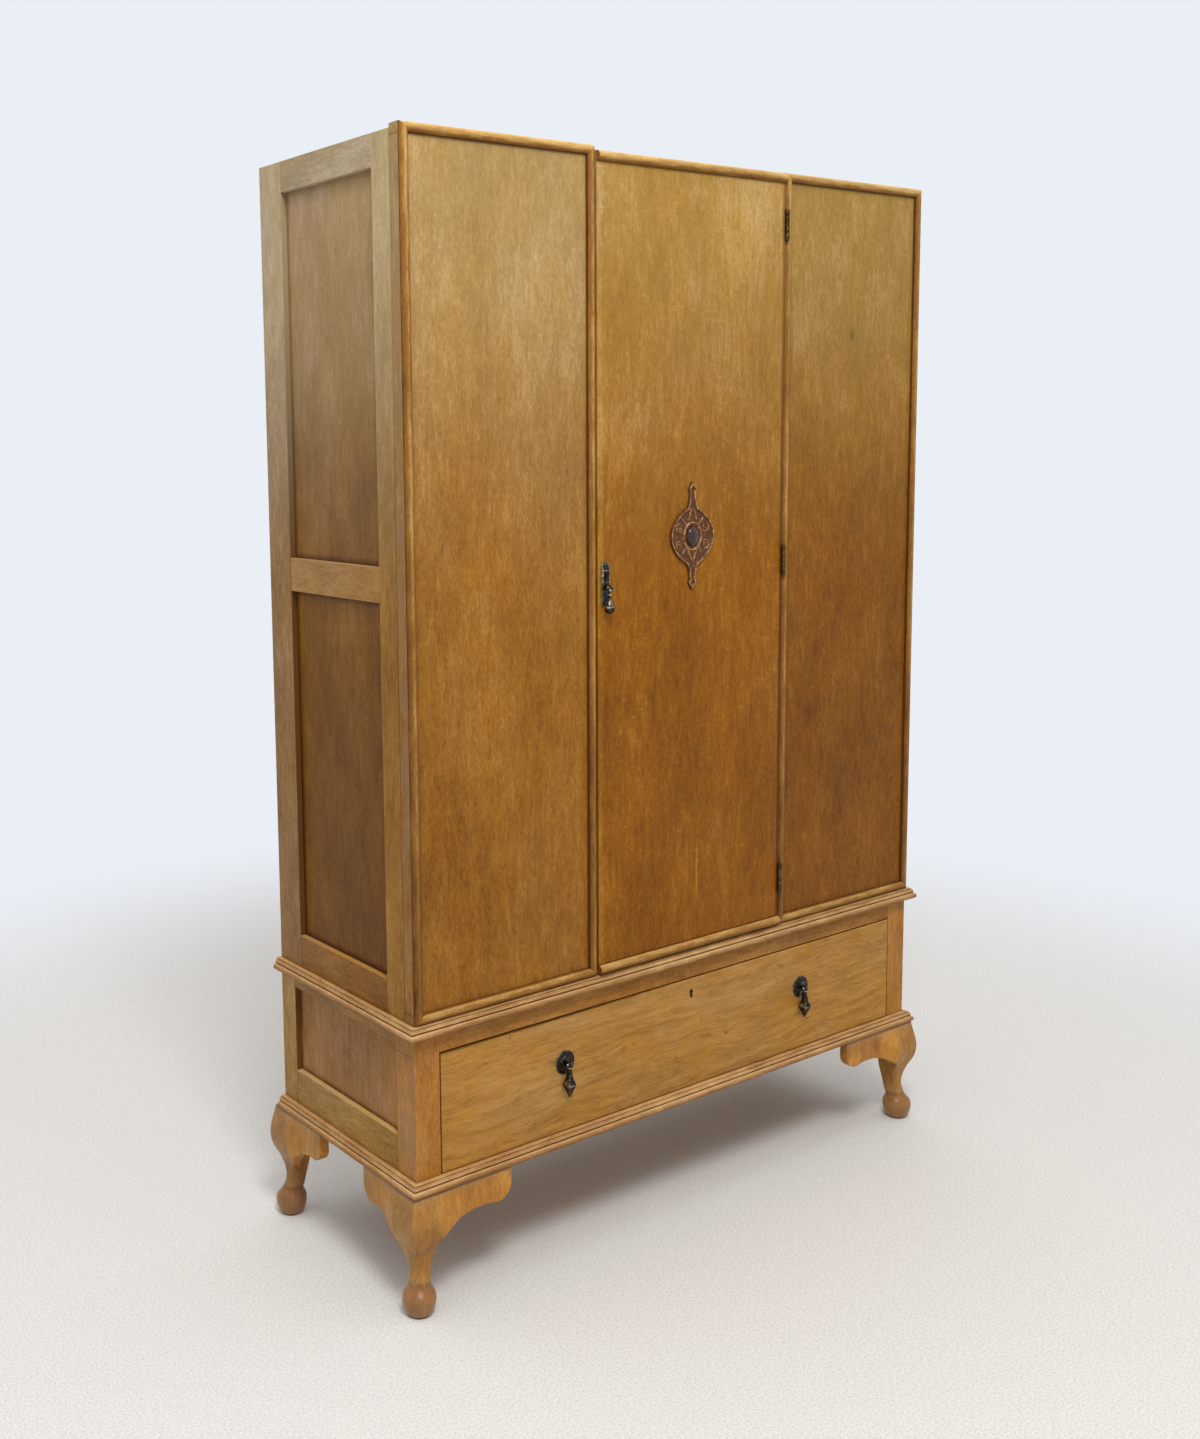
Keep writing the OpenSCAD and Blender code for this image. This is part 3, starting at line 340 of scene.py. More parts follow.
swell_run = 0.055
front_ear = {"length": 0.179, "lobe_r": 0.026, "lobe_drop": 0.027, "arch": (0.118, 0.179)}
side_ear = {"length": 0.137, "lobe_r": 0.0236, "lobe_drop": 0.031, "arch": (0.105, 0.130)}
leg_voxel = 0.00105
leg_smoothing = 2


def leg_section(z):
    """Middle, half width and squareness of a leg at each height, without its ball."""
    return [np.interp(z, leg_rows[:, 0], leg_rows[:, k]) for k in (1, 2, 3)]


def ball_half(z):
    """Half width of the ball: ball_r * sqrt(1 - (distance from its middle / half height) ** 2)."""
    half_h = np.where(z < ball_z, ball_low, ball_high)
    return ball_r * np.sqrt(np.maximum(0, 1 - ((z - ball_z) / half_h) ** 2))


def softened(values, reach):
    """A running mean over each value's neighbours within reach."""
    padded = np.pad(values, reach, mode="edge")
    return np.convolve(padded, np.ones(2 * reach + 1) / (2 * reach + 1), mode="valid")


def leg_grid():
    """Rings up a leg: r = half / (|cos a| ** p + |sin a| ** p) ** (1 / p), p its squareness."""
    z = np.linspace(0, leg_h, leg_rings)
    middle, half, square = [softened(part, rings_blended) for part in leg_section(z)]
    half = softened(np.maximum(half, ball_half(z)), rings_blended)
    a = np.linspace(0, 2 * np.pi, leg_columns, endpoint=False)
    p = square[:, None]
    r = half[:, None] / (np.abs(np.cos(a)) ** p + np.abs(np.sin(a)) ** p) ** (1 / p)
    return np.stack([middle[:, None] + r * np.cos(a), middle[:, None] + r * np.sin(a),
        np.broadcast_to(z[:, None], r.shape)], axis=-1)


def ear_grid(length, lobe_r, lobe_drop, arch):
    """Sections of an ear as distance along, distance in and height. Its underside follows the
    arch's circle up to where that touches the round lobe, and then the lobe's circle. Near the
    leg its face swells out to the knee's."""
    lobe = np.array([length - lobe_r, leg_h - lobe_drop])
    arch_middle = np.array([arch[0], leg_h - arch[1]])
    reach = np.linalg.norm(lobe - arch_middle)
    arch_r = reach - lobe_r
    touch = lobe[0] + lobe_r * (arch_middle - lobe)[0] / reach
    s = ear_start + (length - ear_start) * np.sin(np.linspace(0, np.pi / 2, ear_sections))
    under_arch = arch_middle[1] + np.sqrt(np.maximum(0, arch_r ** 2 - (s - arch_middle[0]) ** 2))
    under_lobe = lobe[1] - np.sqrt(np.maximum(0, lobe_r ** 2 - (s - lobe[0]) ** 2))
    low = np.maximum(np.where(s < touch, under_arch, under_lobe), ear_lowest)
    up = np.concatenate([np.linspace(0, 1, ear_heights), np.linspace(1, 0, ear_heights)])
    z = low[:, None] + (leg_h - low[:, None]) * up
    middle, half, _ = leg_section(z)
    near = np.clip((swell_end - s) / swell_run, 0, 1)[:, None]
    out = ear_out + (half - middle - ear_out) * near ** 2 * (3 - 2 * near)
    depth = np.where(np.arange(2 * ear_heights) < ear_heights, -out, ear_in)
    return np.stack([np.broadcast_to(s[:, None], z.shape), depth, z], axis=-1)


def make_leg(name, side, end, ears):
    """A leg at the carcase's corner on that side (-1 left) and end (-1 front), as one skin."""
    grids = [leg_grid()] + ears
    corner = np.array([side * -carcase_x, front_y if end < 0 else back_y, 0])
    inwards = np.array([-side, -end, 1])
    rough_leg = skin(name + "_blank", [corner + grid * inwards for grid in grids])
    merge = rough_leg.modifiers.new("merge", "REMESH")
    merge.mode = "VOXEL"
    merge.voxel_size = leg_voxel
    sand = rough_leg.modifiers.new("sand", "SMOOTH")
    sand.factor = 0.5
    sand.iterations = leg_smoothing
    shaped = rough_leg.evaluated_get(bpy.context.evaluated_depsgraph_get())
    mesh = bpy.data.meshes.new_from_object(shaped)
    mesh.name = name
    points = np.empty(len(mesh.vertices) * 3)
    mesh.vertices.foreach_get("co", points)
    points = points.reshape(-1, 3)
    points[:, 2] = np.clip(points[:, 2], 0, leg_h)
    mesh.vertices.foreach_set("co", points.ravel())
    mesh.shade_smooth()
    bpy.data.objects.remove(rough_leg)
    made = bpy.data.objects.new(name, mesh)
    scene.collection.objects.link(made)
    return made


def grain(wood, figure, seed):
    """Tone of oak, about 0.5, where the third part of wood runs along the grain. figure gives the
    weights of its soft patches, of its streaks, wide and narrow, of its fibre and its pores, and
    of its ray fleck if it has any."""
    spot = wood + seed
    tone = 0.5 + (spot.cloud((9, 9, 4.5), 3, 0.5) - 0.5) * figure["patches"]
    tone = tone + (spot.cloud((46, 46, 19), 3, 0.6) - 0.5) * figure["streaks"] * 0.8
    tone = tone + (spot.cloud((140, 140, 24), 3, 0.6) - 0.5) * figure["streaks"]
    tone = tone + (spot.cloud((340, 340, 120), 3, 0.7) - 0.5) * figure["fibre"]
    tone = tone - spot.cloud((800, 800, 110), 1).rise(0.56, 0.72) * figure["pores"]
    if "rays" in figure:
        zone = spot.cloud((9, 9, 3)).rise(0.45, 0.65)
        flecks = spot.cloud((60, 60, 240), 2, 0.5, 0.6).rise(0.56, 0.74)
        tone = tone + flecks * zone * figure["rays"]
    return tone


wood_gloss = 0.13
grain_deep = 0.0002


def polish(paper, colour, rough, relief, depth, fixed):
    """Ends a material: a surface of a colour and roughness, with a relief so many metres deep.
    fixed holds the values that are the same all over it."""
    bump = paper.node("Bump", {}, {"Strength": 1.0, "Distance": depth, "Height": relief})
    inputs = {"Base Color": colour, "Roughness": rough, "Normal": bump, **fixed}
    paper.node("OutputMaterial", {}, {0: paper.node("BsdfPrincipled", {}, inputs)})


def wood_stops(dark, middle, light, spread=0.3):
    """Stops of a ramp from a dark to a light 8-bit sRGB colour, its middle at a tone of 0.5."""
    return [(0.5 - spread, tint(*dark)), (0.5, tint(*middle)), (0.5 + spread, tint(*light))]


leg_figure = {"patches": 0.6, "streaks": 0.35, "fibre": 0.4, "pores": 0.06}
leg_tones = wood_stops((120, 76, 28), (176, 121, 49), (214, 162, 84))
foot_colour = tint(140, 102, 70)
ear_stain = (1.14, 1.04, 0.68)
ball_stain = (0.88, 0.72, 0.58)
# Tint of the faces that look sideways, greyer and bluer
side_face_tint = (0.95, 1.04, 1.2)
crease_z = 0.051
ball_line_z = 0.0415
ankle_z = 0.085
dust_colour = tint(176, 152, 116)
# Colour of the painted contact shadow under the foot
contact_shadow_colour = tint(52, 36, 26)
depth_middle = (front_y + back_y) / 2
ear_joint = 0.033
knot_at = (carcase_x - 0.008, front_y - 0.008, 0.086)
knot_r = 0.007


def leg_finish():
    """Stained wood with upright grain. The ears are of warmer boards with a dark joint, the ankle
    has dark streaks and the ball a dark band, faces that look sideways are tinted greyer, dust lies
    under the moulding with a band of painted shade at the very top, painted shade darkens the
    crease over the ball, the foot is redder, painted contact shadow makes the foot's underside
    nearly black, and a small knot shows low on the front left leg."""
    made, paper = material("leg_oak")
    place = paper.node("TexCoord", {}, {}, out=3)
    x, y, height = place.parts()
    relief = grain(place, leg_figure, 3.1)
    blotch = place.cloud(24, 3) - 0.5
    inwards_x = -carcase_x - abs(x)
    inwards_y = (back_y - front_y) / 2 - abs(y - depth_middle)
    inwards = inwards_x.most(inwards_y)
    knot = (place - knot_at).length().fall(knot_r * 0.3, knot_r)
    tone = relief + 0.4 * blotch
    tone = tone - 0.1 * abs(inwards - ear_joint).fall(0.0004, 0.0012) - 0.8 * knot
    # Painted shade in the crease over the ball
    tone = tone - 0.2 * abs(height - crease_z).fall(0.0012, 0.006)
    # A band of painted shade at the very top of the leg, under the moulding
    tone = tone - 0.45 * height.rise(leg_h - 0.004, leg_h - 0.0015)
    tone = tone + 0.35 * (place.cloud(70, 2) - 0.5) * height.fall(0.04, 0.07)
    streak = place.cloud((260, 260, 14), 2, 0.6).rise(0.55, 0.7)
    tone = tone - 0.2 * (streak * abs(height - ankle_z).fall(0.02, 0.045))
    ear = inwards.rise(ear_joint, ear_joint + 0.002)
    colour = tone.toned(leg_tones).stained(ear.between((1, 1, 1), ear_stain))
    # Faces that look sideways are tinted greyer and bluer
    sideways = abs(paper.node("NewGeometry", {}, {}, out=1).parts()[0]).rise(0.5, 0.9)
    colour = colour.stained(sideways.between((1, 1, 1), side_face_tint))
    foot = height.fall(0.02, ankle_z) * 0.6
    colour = foot.between(colour, foot_colour)
    ball_line = abs(height - ball_line_z).fall(0.003, 0.009) * 0.8
    colour = colour.stained(ball_line.between((1, 1, 1), ball_stain))
    dust = height.rise(leg_h - 0.016, leg_h - 0.002) * 0.25
    colour = dust.between(colour, dust_colour)
    # Painted contact shadow makes the underside of the foot nearly black
    contact_shadow = height.fall(0.001, 0.006) * 0.8
    colour = contact_shadow.between(colour, contact_shadow_colour)
    rough = 0.46 - 0.2 * blotch - 0.14 * height.fall(0.05, 0.07)
    polish(paper, colour, rough, relief, grain_deep, {"Specular IOR Level": 0.4})
    return made


leg_oak = leg_finish()
for name, side, end in (("front_left_leg", -1, -1), ("front_right_leg", 1, -1),
        ("back_left_leg", -1, 1), ("back_right_leg", 1, 1)):
    ears = [ear_grid(**side_ear)[..., [1, 0, 2]]]
    if end < 0:
        ears.append(ear_grid(**front_ear))
    leg = make_leg("carved_" + name, side, end, ears)
    leg.data.materials.append(leg_oak)
    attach(leg, "carcase")
    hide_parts(name)


# Base frame. Four posts stand on the legs, with tenoned rails between them, thin panels in the
# side rails' grooves, and a thin back. The front posts are orange brown, the sides greyer.
golden = (1.03, 0.96, 0.68)
greyed = (0.99, 1.01, 1.24)


def oak(name, along, tones, figure, seed, rough=0.5, marks_and_painted_light=None, weather_and_light=None):
    """Polished oak with its grain along X, Y or Z, given as 0, 1 or 2, and its hue drifting from
    golden to greyed. The function given for its tone adds stains, joints, painted shade and
    painted highlights, and the one given for its colour adds wear, bleaching by a window and
    painted light from above, by the place's x, y and z."""
    made, paper = material(name)
    place = paper.node("TexCoord", {}, {}, out=3).parts()
    order = [axis for axis in range(3) if axis != along] + [along]
    wood = paper.joined([place[axis] for axis in order])
    tone = grain(wood, figure, seed)
    relief = tone
    if marks_and_painted_light:
        tone = marks_and_painted_light(tone, place)
    drift = (wood - seed).cloud((6, 6, 3), 5, 0.66).rise(0.3, 0.7)
    colour = tone.toned(tones).stained(drift.between(golden, greyed))
    if weather_and_light:
        colour = weather_and_light(colour, place)
    polish(paper, colour, rough + 0.15 * (0.5 - relief), relief, grain_deep,
        {"Specular IOR Level": wood_gloss})
    return made


def dress(name, finish, edge=0.0007):
    """Gives a CAD piece its finish and takes the sharpness off its edges."""
    piece = nodes[name]
    piece.data.materials.clear()
    piece.data.materials.append(finish)
    if edge:
        weld = piece.modifiers.new("weld", "WELD")
        weld.merge_threshold = 1e-5
        round_off = piece.modifiers.new("edges", "BEVEL")
        round_off.width = edge
        round_off.segments = 2
        round_off.limit_method = "ANGLE"
        round_off.angle_limit = math.radians(40)
        round_off.harden_normals = True


def nearest(value, levels):
    """Distance from a value to the nearest of some levels."""
    gap = abs(value - levels[0])
    for level in levels[1:]:
        gap = gap.least(abs(value - level))
    return gap


frame_figure = {"patches": 0.5, "streaks": 0.35, "fibre": 0.45, "pores": 0.1}
post_tones = wood_stops((124, 75, 24), (180, 122, 54), (215, 162, 88))
rail_tones = wood_stops((112, 66, 20), (168, 113, 49), (206, 152, 78))
side_tones = wood_stops((110, 76, 34), (164, 124, 68), (203, 166, 108))
base_panel_tones = wood_stops((102, 66, 30), (157, 111, 62), (190, 145, 93))
ply_tones = wood_stops((120, 86, 52), (166, 128, 84), (200, 166, 120))
inner_tones = wood_stops((112, 78, 44), (160, 122, 76), (196, 160, 112))
plain_figure = {"patches": 0.3, "streaks": 0.3, "fibre": 0.4, "pores": 0.08}
scuffed = tint(150, 118, 86)
scuff_most = 0.75


def sun_side(colour, place):
    """Towards the window the outer face of the sides has gone grey and is scuffed."""
    outer = nearest(place[0], (carcase_x, -carcase_x)).fall(0.0004, 0.0016)
    scuffs = place[0].joined(place).cloud((60, 60, 14), 3, 0.6).rise(0.3, 0.75)
    return (outer * scuffs * scuff_most).between(colour, scuffed)


base_panel_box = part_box("base_side_panels")
panel_groove = 0.007
base_ledge = base_panel_box[0][2] + panel_groove
base_reveal = base_panel_box[1][1] - panel_groove


def ledge_highlights(ledges):
    """A painted highlight on the top edges of the lower rails, each at one of those heights."""
    def marks_and_painted_light(tone, place):
        return tone + 0.35 * nearest(place[2], ledges).fall(0.0003, 0.0014)
    return marks_and_painted_light


def reveal_shade(edge):
    """Painted shade along the edge where a back post or stile stands over its panel, at that depth.
    """
    def marks_and_painted_light(tone, place):
        return tone - 0.4 * abs(place[1] - edge).fall(0.0002, 0.001)
    return marks_and_painted_light


opening_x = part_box("base_front_top_rail")[1][0]
opening_z = (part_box("base_front_bottom_rail")[1][2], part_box("base_front_top_rail")[0][2])
gap_dark = 0.75


def behind_front(y):
    """From 0 at the front of the base to 1 a little way behind it."""
    return y.rise(front_y + 0.0008, front_y + 0.0026)


def opening_shade(tone, place):
    """Painted shade inside the drawer's opening, behind its front edge."""
    inside = nearest(place[0], (-opening_x, opening_x)).fall(0.0002, 0.001)
    level = nearest(place[2], opening_z).fall(0.0002, 0.001)
    return tone - gap_dark * (inside.most(level) * behind_front(place[1]))


dress("base_front_posts", oak("post_oak", 2, post_tones, frame_figure, 5.3, marks_and_painted_light=opening_shade,
    weather_and_light=sun_side))
dress("base_front_top_rail", oak("top_rail_oak", 0, rail_tones, frame_figure, 7.9,
    marks_and_painted_light=opening_shade))
dress("base_front_bottom_rail", oak("bottom_rail_oak", 0, rail_tones, frame_figure, 9.2,
    marks_and_painted_light=opening_shade))
dress("base_back_posts", oak("back_post_oak", 2, side_tones, frame_figure, 11.7,
    marks_and_painted_light=reveal_shade(base_reveal)))
dress("base_side_rails", oak("base_rail_oak", 1, side_tones, frame_figure, 13.1,
    marks_and_painted_light=ledge_highlights((base_ledge,))))


def base_panel_shade(tone, place):
    """Painted shade in the corner between the panel and its frame."""
    gap_y = nearest(place[1], (base_panel_box[0][1] + panel_groove, base_reveal))
    gap_z = nearest(place[2], (base_ledge, base_panel_box[1][2] - panel_groove))
    return tone - 0.25 * gap_y.least(gap_z).fall(0.001, 0.01)


dress("base_side_panels", oak("base_panel_oak", 2, base_panel_tones, frame_figure, 15.4,
    marks_and_painted_light=base_panel_shade), 0)
dress("base_back_panel", oak("base_ply", 2, ply_tones, plain_figure, 17.7, rough=0.7), 0)
dress("drawer_runners", oak("runner_wood", 1, inner_tones, plain_figure, 19.3, rough=0.75))


# Mouldings. One runs round the top of the legs and one round the waist, each in three lengths
# planed to a round shoulder, a quirk and a round nose, mitred at the front corners and glued on.
def carried(start, end, rows):
    """A profile carried straight from one end to the other: start + t * (end - start)."""
    t = np.linspace(0, 1, rows)[:, None, None]
    return start + t * (end - start)


moulding_h = 0.021
moulding_out = 0.017
nose_r = 0.0055
nose_start = 1.5
step_h = 0.0015
cut_turn = 0.8
cut_deep = 0.0007
cut_spread = 0.075
shoulder_steps = 44
nose_steps = 18
shoulder_out = moulding_out - nose_r + 0.001
shoulder_r = moulding_h - 2 * nose_r - step_h
quirk = 0.0009
mitre_gap = 0.00005
front_rows = 90
side_rows = 40


def moulding_profile():
    """Distance out and height of the profile, from its back's top round to its back's foot. The
    shoulder is a quarter of a circle with a fine groove,
    r = shoulder_r - cut_deep * exp(-((a - cut_turn) / cut_spread) ** 2), the nose half a circle."""
    a = np.linspace(np.pi / 2, 0, shoulder_steps)
    r = shoulder_r - cut_deep * np.exp(-((a - cut_turn) / cut_spread) ** 2)
    shoulder = np.stack([shoulder_out - shoulder_r + r * np.cos(a),
        r * np.sin(a) - shoulder_r], axis=-1)
    under = [(shoulder_out, -shoulder_r - step_h * 0.35),
        (shoulder_out - quirk, -shoulder_r - step_h * 0.5),
        (shoulder_out - quirk, -shoulder_r - step_h)]
    b = np.linspace(nose_start, -np.pi / 2, nose_steps)
    nose = np.stack([moulding_out - nose_r + nose_r * np.cos(b),
        nose_r - moulding_h + nose_r * np.sin(b)], axis=-1)
    return np.vstack([[(0, 0)], shoulder, under, nose, [(0, -moulding_h)]])


def moulding_runs(top_z):
    """The three lengths. A point of the profile that stands out further starts further round
    the corner, which makes the mitre."""
    out, up = moulding_profile().T
    z = top_z + up
    half = -carcase_x + out - mitre_gap
    y = front_y - out
    front = carried(np.stack([-half, y, z], axis=-1), np.stack([half, y, z], axis=-1), front_rows)
    side_x = -carcase_x + out
    back = np.full_like(out, back_y)
    sides = [carried(np.stack([s * side_x, y + mitre_gap, z], axis=-1),
        np.stack([s * side_x, back, z], axis=-1), side_rows) for s in (-1, 1)]
    return [front] + sides


veil_start = 1.05
veil_end = 1.85
moulding_figure = {"patches": 0.6, "streaks": 0.45, "fibre": 0.3, "pores": 0.12}
moulding_tones = wood_stops((84, 50, 24), (163, 115, 66), (220, 180, 124), 0.4)


def planed_oak(name, seed, crests, grooves, top_lit, tones, side_shaded=0, faded_and_top_lit=0):
    """Oak of a planed length: its grain runs along it. Across the profile it is pale on the crests,
    partly worn and partly a painted highlight, and dark with painted shade in the grooves, each
    given as a place across, a reach and a strength. The next arguments give how much paler it is
    painted where it faces up and darker where it faces down, as light from above, how much darker
    it is painted where it faces sideways, as shade, and how much paler it is high up, partly
    bleached and partly painted light from above."""
    made, paper = material(name)
    height = paper.node("TexCoord", {}, {}, out=3).parts()[2]
    along, across, _ = paper.node("TexCoord", {}, {}, out=2).parts()
    wood = paper.joined([across, across * 0, along])
    relief = grain(wood, moulding_figure, seed)
    facing = paper.node("NewGeometry", {}, {}, out=1).parts()
    # Painted light and shade: paler where it faces up, darker where it faces down and sideways
    tone = relief + top_lit * facing[2] - side_shaded * abs(facing[0])
    tone = tone + faded_and_top_lit * height.rise(veil_start, veil_end)
    # The grooves get painted shade, and the crests a pale mix of wear and painted highlight
    dark = [(place, reach, -strength) for place, reach, strength in grooves]
    for place, reach, strength in crests + dark:
        tone = tone + strength * abs(across - place).fall(0, reach)
    polish(paper, tone.toned(tones), 0.5 - 0.1 * relief, relief, grain_deep,
        {"Specular IOR Level": wood_gloss})
    return made


profile_steps = np.linalg.norm(np.diff(moulding_profile(), axis=0), axis=1)
profile_reach = np.concatenate([[0], np.cumsum(profile_steps)])
# Places across the profile: the shoulder's edge and groove, the quirk's foot, the nose's crest
shoulder_edge = profile_reach[shoulder_steps]
shoulder_line = profile_reach[1 + round((1 - cut_turn / (np.pi / 2)) * (shoulder_steps - 1))]
quirk_foot = profile_reach[shoulder_steps + 3]
nose_crest = profile_reach[shoulder_steps + 7]
# Pale crests are partly wear and partly painted highlight, the grooves and the top's back edge get
# painted shade, and faces that look up are painted lighter
moulding_oak = planed_oak("moulding_oak", 21.3,
    [(shoulder_edge - 0.001, 0.0025, 0.15), (nose_crest, 0.004, 0.15)],
    [(quirk_foot - 0.0008, 0.0018, 0.4), (shoulder_line, 0.0011, 0.4), (0, 0.003, 0.45)], 0.2,
    moulding_tones)
for name in ("base_moulding", "waist_moulding"):
    moulding = skin("planed_" + name, moulding_runs(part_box(name)[1][2]))
    moulding.data.materials.append(moulding_oak)
    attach(moulding, "carcase")
    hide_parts(name)


# Drawer. Its front is faced with level, wavy oak veneer. Pale sides are dovetailed to it and to
# the back, and a thin bottom slides in from behind.
drawer_tones = wood_stops((112, 74, 24), (180, 131, 63), (214, 170, 98), 0.35)
drawer_figure = {"patches": 0.3, "streaks": 0.4, "fibre": 0.28, "pores": 0.16}
drawer_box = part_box("drawer_front")
pine_tones = wood_stops((158, 122, 76), (198, 164, 116), (222, 196, 152))
pine_figure = {"patches": 0.6, "streaks": 0.5, "fibre": 0.2, "pores": 0.04}
chip_at = (-0.404, 0.411)


def drawer_face_finish():
    """Level grain that waves as if round knots, with grey smudges of wear, rubbed edges, a small
    chip under the top edge, a darker band along that edge's left half, and painted shade on the
    edge faces behind its face and near its sides."""
    made, paper = material("drawer_oak")
    place = paper.node("TexCoord", {}, {}, out=3)
    x, y, z = place.parts()
    sway = (place.cloud((4, 4, 9), 2) - 0.5) * 0.06
    wood = paper.joined([y, z + sway, x * 0.45])
    relief = grain(wood, drawer_figure, 23.9)
    curl = place.cloud((14, 14, 40), 3, 0.6, 0.8) - 0.5
    smudge = place.cloud((10, 10, 22), 3, 0.6).rise(0.56, 0.72)
    fine_smudge = place.cloud((60, 60, 80), 2, 0.6).rise(0.5, 0.66)
    gap_x = nearest(x, (drawer_box[0][0], drawer_box[1][0]))
    gap_z = nearest(z, (drawer_box[0][2], drawer_box[1][2]))
    rim = gap_x.least(gap_z).fall(0, 0.003)
    chip = abs(x - chip_at[0]).fall(0.0005, 0.002) * abs(z - chip_at[1]).fall(0.001, 0.006)
    # Painted shade on the edge faces behind the front's face
    behind = behind_front(y) * gap_x.least(gap_z).fall(0.0002, 0.001)
    tone = relief + 0.14 * curl - 0.2 * (smudge * fine_smudge) + 0.12 * rim - 0.3 * chip
    sunk = abs(z - drawer_box[1][2]).fall(0.0014, 0.0026) * x.fall(-0.5, 0.15)
    # Painted shade near the side edges, with the darker band along the top edge
    tone = tone - gap_dark * behind.most(sunk.most(gap_x.fall(0.0007, 0.0018)))
    drift = place.cloud((5, 5, 9), 4, 0.6).rise(0.3, 0.7)
    colour = tone.toned(drawer_tones).stained(drift.between(golden, greyed))
    polish(paper, colour, 0.54 - 0.1 * relief, relief, grain_deep,
        {"Specular IOR Level": wood_gloss})
    return made


dress("drawer_front", drawer_face_finish())
dress("drawer_sides", oak("drawer_side_wood", 1, pine_tones, pine_figure, 25.1, rough=0.7))
dress("drawer_back", oak("drawer_back_wood", 0, pine_tones, pine_figure, 27.2, rough=0.7))
dress("drawer_bottom", oak("drawer_ply", 0, ply_tones, plain_figure, 29.8, rough=0.7), 0)


# Drawer's lock. A brass case is let into the back of the front, with a bolt that rises into
# the rail above and a lined keyhole.
def brass(name, dark, bright, rough, seed):
    """Brass that has gone dark in patches."""
    made, paper = material(name)
    place = paper.node("TexCoord", {}, {}, out=3) + seed
    patch = place.cloud(140, 3, 0.6)
    grit = place.cloud(1600, 2, 0.6)
    colour = (0.7 * patch + 0.3 * grit).rise(0.38, 0.66).between(dark, bright)
    polish(paper, colour, rough + 0.2 * (patch - 0.5), grit, 0.00005, {"Metallic": 1.0})
    return made


metal_edge = 0.0002
lock_brass = brass("lock_brass", tint(92, 76, 44), tint(160, 136, 82), 0.42, 31.3)
keyhole_brass = brass("keyhole_brass", tint(44, 36, 24), tint(96, 84, 54), 0.5, 32.7)
for name in ("drawer_lock_case", "drawer_lock_bolt"):
    dress(name, lock_brass, metal_edge)
dress("drawer_escutcheon", keyhole_brass, metal_edge)


# Carcase. Framed sides of stiles, rails and thin panels, with boards across the top and the
# floor, a back of two thin panels and a muntin, and two posts behind the door's opening.
veil_most = 0.2475


def fading_and_top_light(tones, pale):
    """The upper part is paler, partly bleached by a window and partly painted light from above: the
    middle of its tones goes some way to that pale colour, half as a stain and half as a veil over
    the grain."""
    stain = tuple(new / old for new, old in zip(pale, tones[1][1]))

    def weather_and_light(colour, place):
        share = place[2].rise(veil_start, veil_end) * veil_most
        return share.between(colour.stained(share.between((1, 1, 1), stain)), pale)
    return weather_and_light


front_stile_tones = wood_stops((100, 60, 12), (150, 102, 34), (190, 142, 70))
back_stile_tones = wood_stops((98, 66, 30), (147, 108, 60), (184, 150, 98))
side_rail_tones = wood_stops((90, 54, 15), (137, 91, 36), (179, 132, 70))
panel_tones = wood_stops((80, 44, 8), (127, 82, 19), (166, 118, 46))
front_stile_pale = tint(242, 232, 188)
back_stile_pale = tint(240, 226, 184)
side_rail_pale = tint(216, 205, 169)
panel_pale = tint(226, 199, 150)
panel_figure = {"patches": 0.5, "streaks": 0.3, "fibre": 0.44, "pores": 0.09}
stile_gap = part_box("left_front_stile")[0][1]
scar_at = (carcase_x, -0.184, 0.612)


def stile_marks(tone, place):
    """A dark line in the joint between a front stile and its board, and a pale scar on the left."""
    off_x, off_y, off_z = [abs(part - at) for part, at in zip(place, scar_at)]
    scar = off_y.fall(0.002, 0.006) * off_z.fall(0.012, 0.034) * off_x.fall(0.001, 0.004)
    return tone - 0.6 * abs(place[1] - stile_gap).fall(0.0003, 0.0016) + 0.3 * scar


side_edges_y = (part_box("left_front_stile")[1][1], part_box("left_back_stile")[0][1])
side_panel_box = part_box("left_side_panels")
middle_rail_z = (1.126, 1.181)
side_edges_z = (side_panel_box[0][2] + panel_groove, *middle_rail_z,
    side_panel_box[1][2] - panel_groove)


def side_rail_highlights(tone, place):
    """A painted highlight on the rails' top edges, and a paler rail between the panels."""
    middle_rail = abs(place[2] - sum(middle_rail_z) / 2).fall(0.026, 0.03)
    return ledge_highlights((side_edges_z[0], side_edges_z[2]))(tone, place) + 0.16 * middle_rail


for number, side in enumerate(("left", "right")):
    shift = 33.3 + 4.7 * number
    dress(side + "_front_stile", oak(side + "_front_stile_oak", 2, front_stile_tones,
        frame_figure, shift, marks_and_painted_light=stile_marks,
        weather_and_light=fading_and_top_light(front_stile_tones, front_stile_pale)))
    dress(side + "_back_stile", oak(side + "_back_stile_oak", 2, back_stile_tones, frame_figure,
        shift + 1.3, marks_and_painted_light=reveal_shade(side_edges_y[1]),
        weather_and_light=fading_and_top_light(back_stile_tones, back_stile_pale)))
    dress(side + "_side_rails", oak(side + "_rail_oak", 1, side_rail_tones, frame_figure,
        shift + 2.9, marks_and_painted_light=side_rail_highlights, weather_and_light=fading_and_top_light(side_rail_tones, side_rail_pale)))


def side_panel_shade(tone, place):
    """Painted shade along the edge against the frame, and a darker foot."""
    gap = nearest(place[1], side_edges_y).least(nearest(place[2], side_edges_z))
    return tone - 0.25 * gap.fall(0.001, 0.012) - 0.1 * place[2].fall(0.5, 1.3)


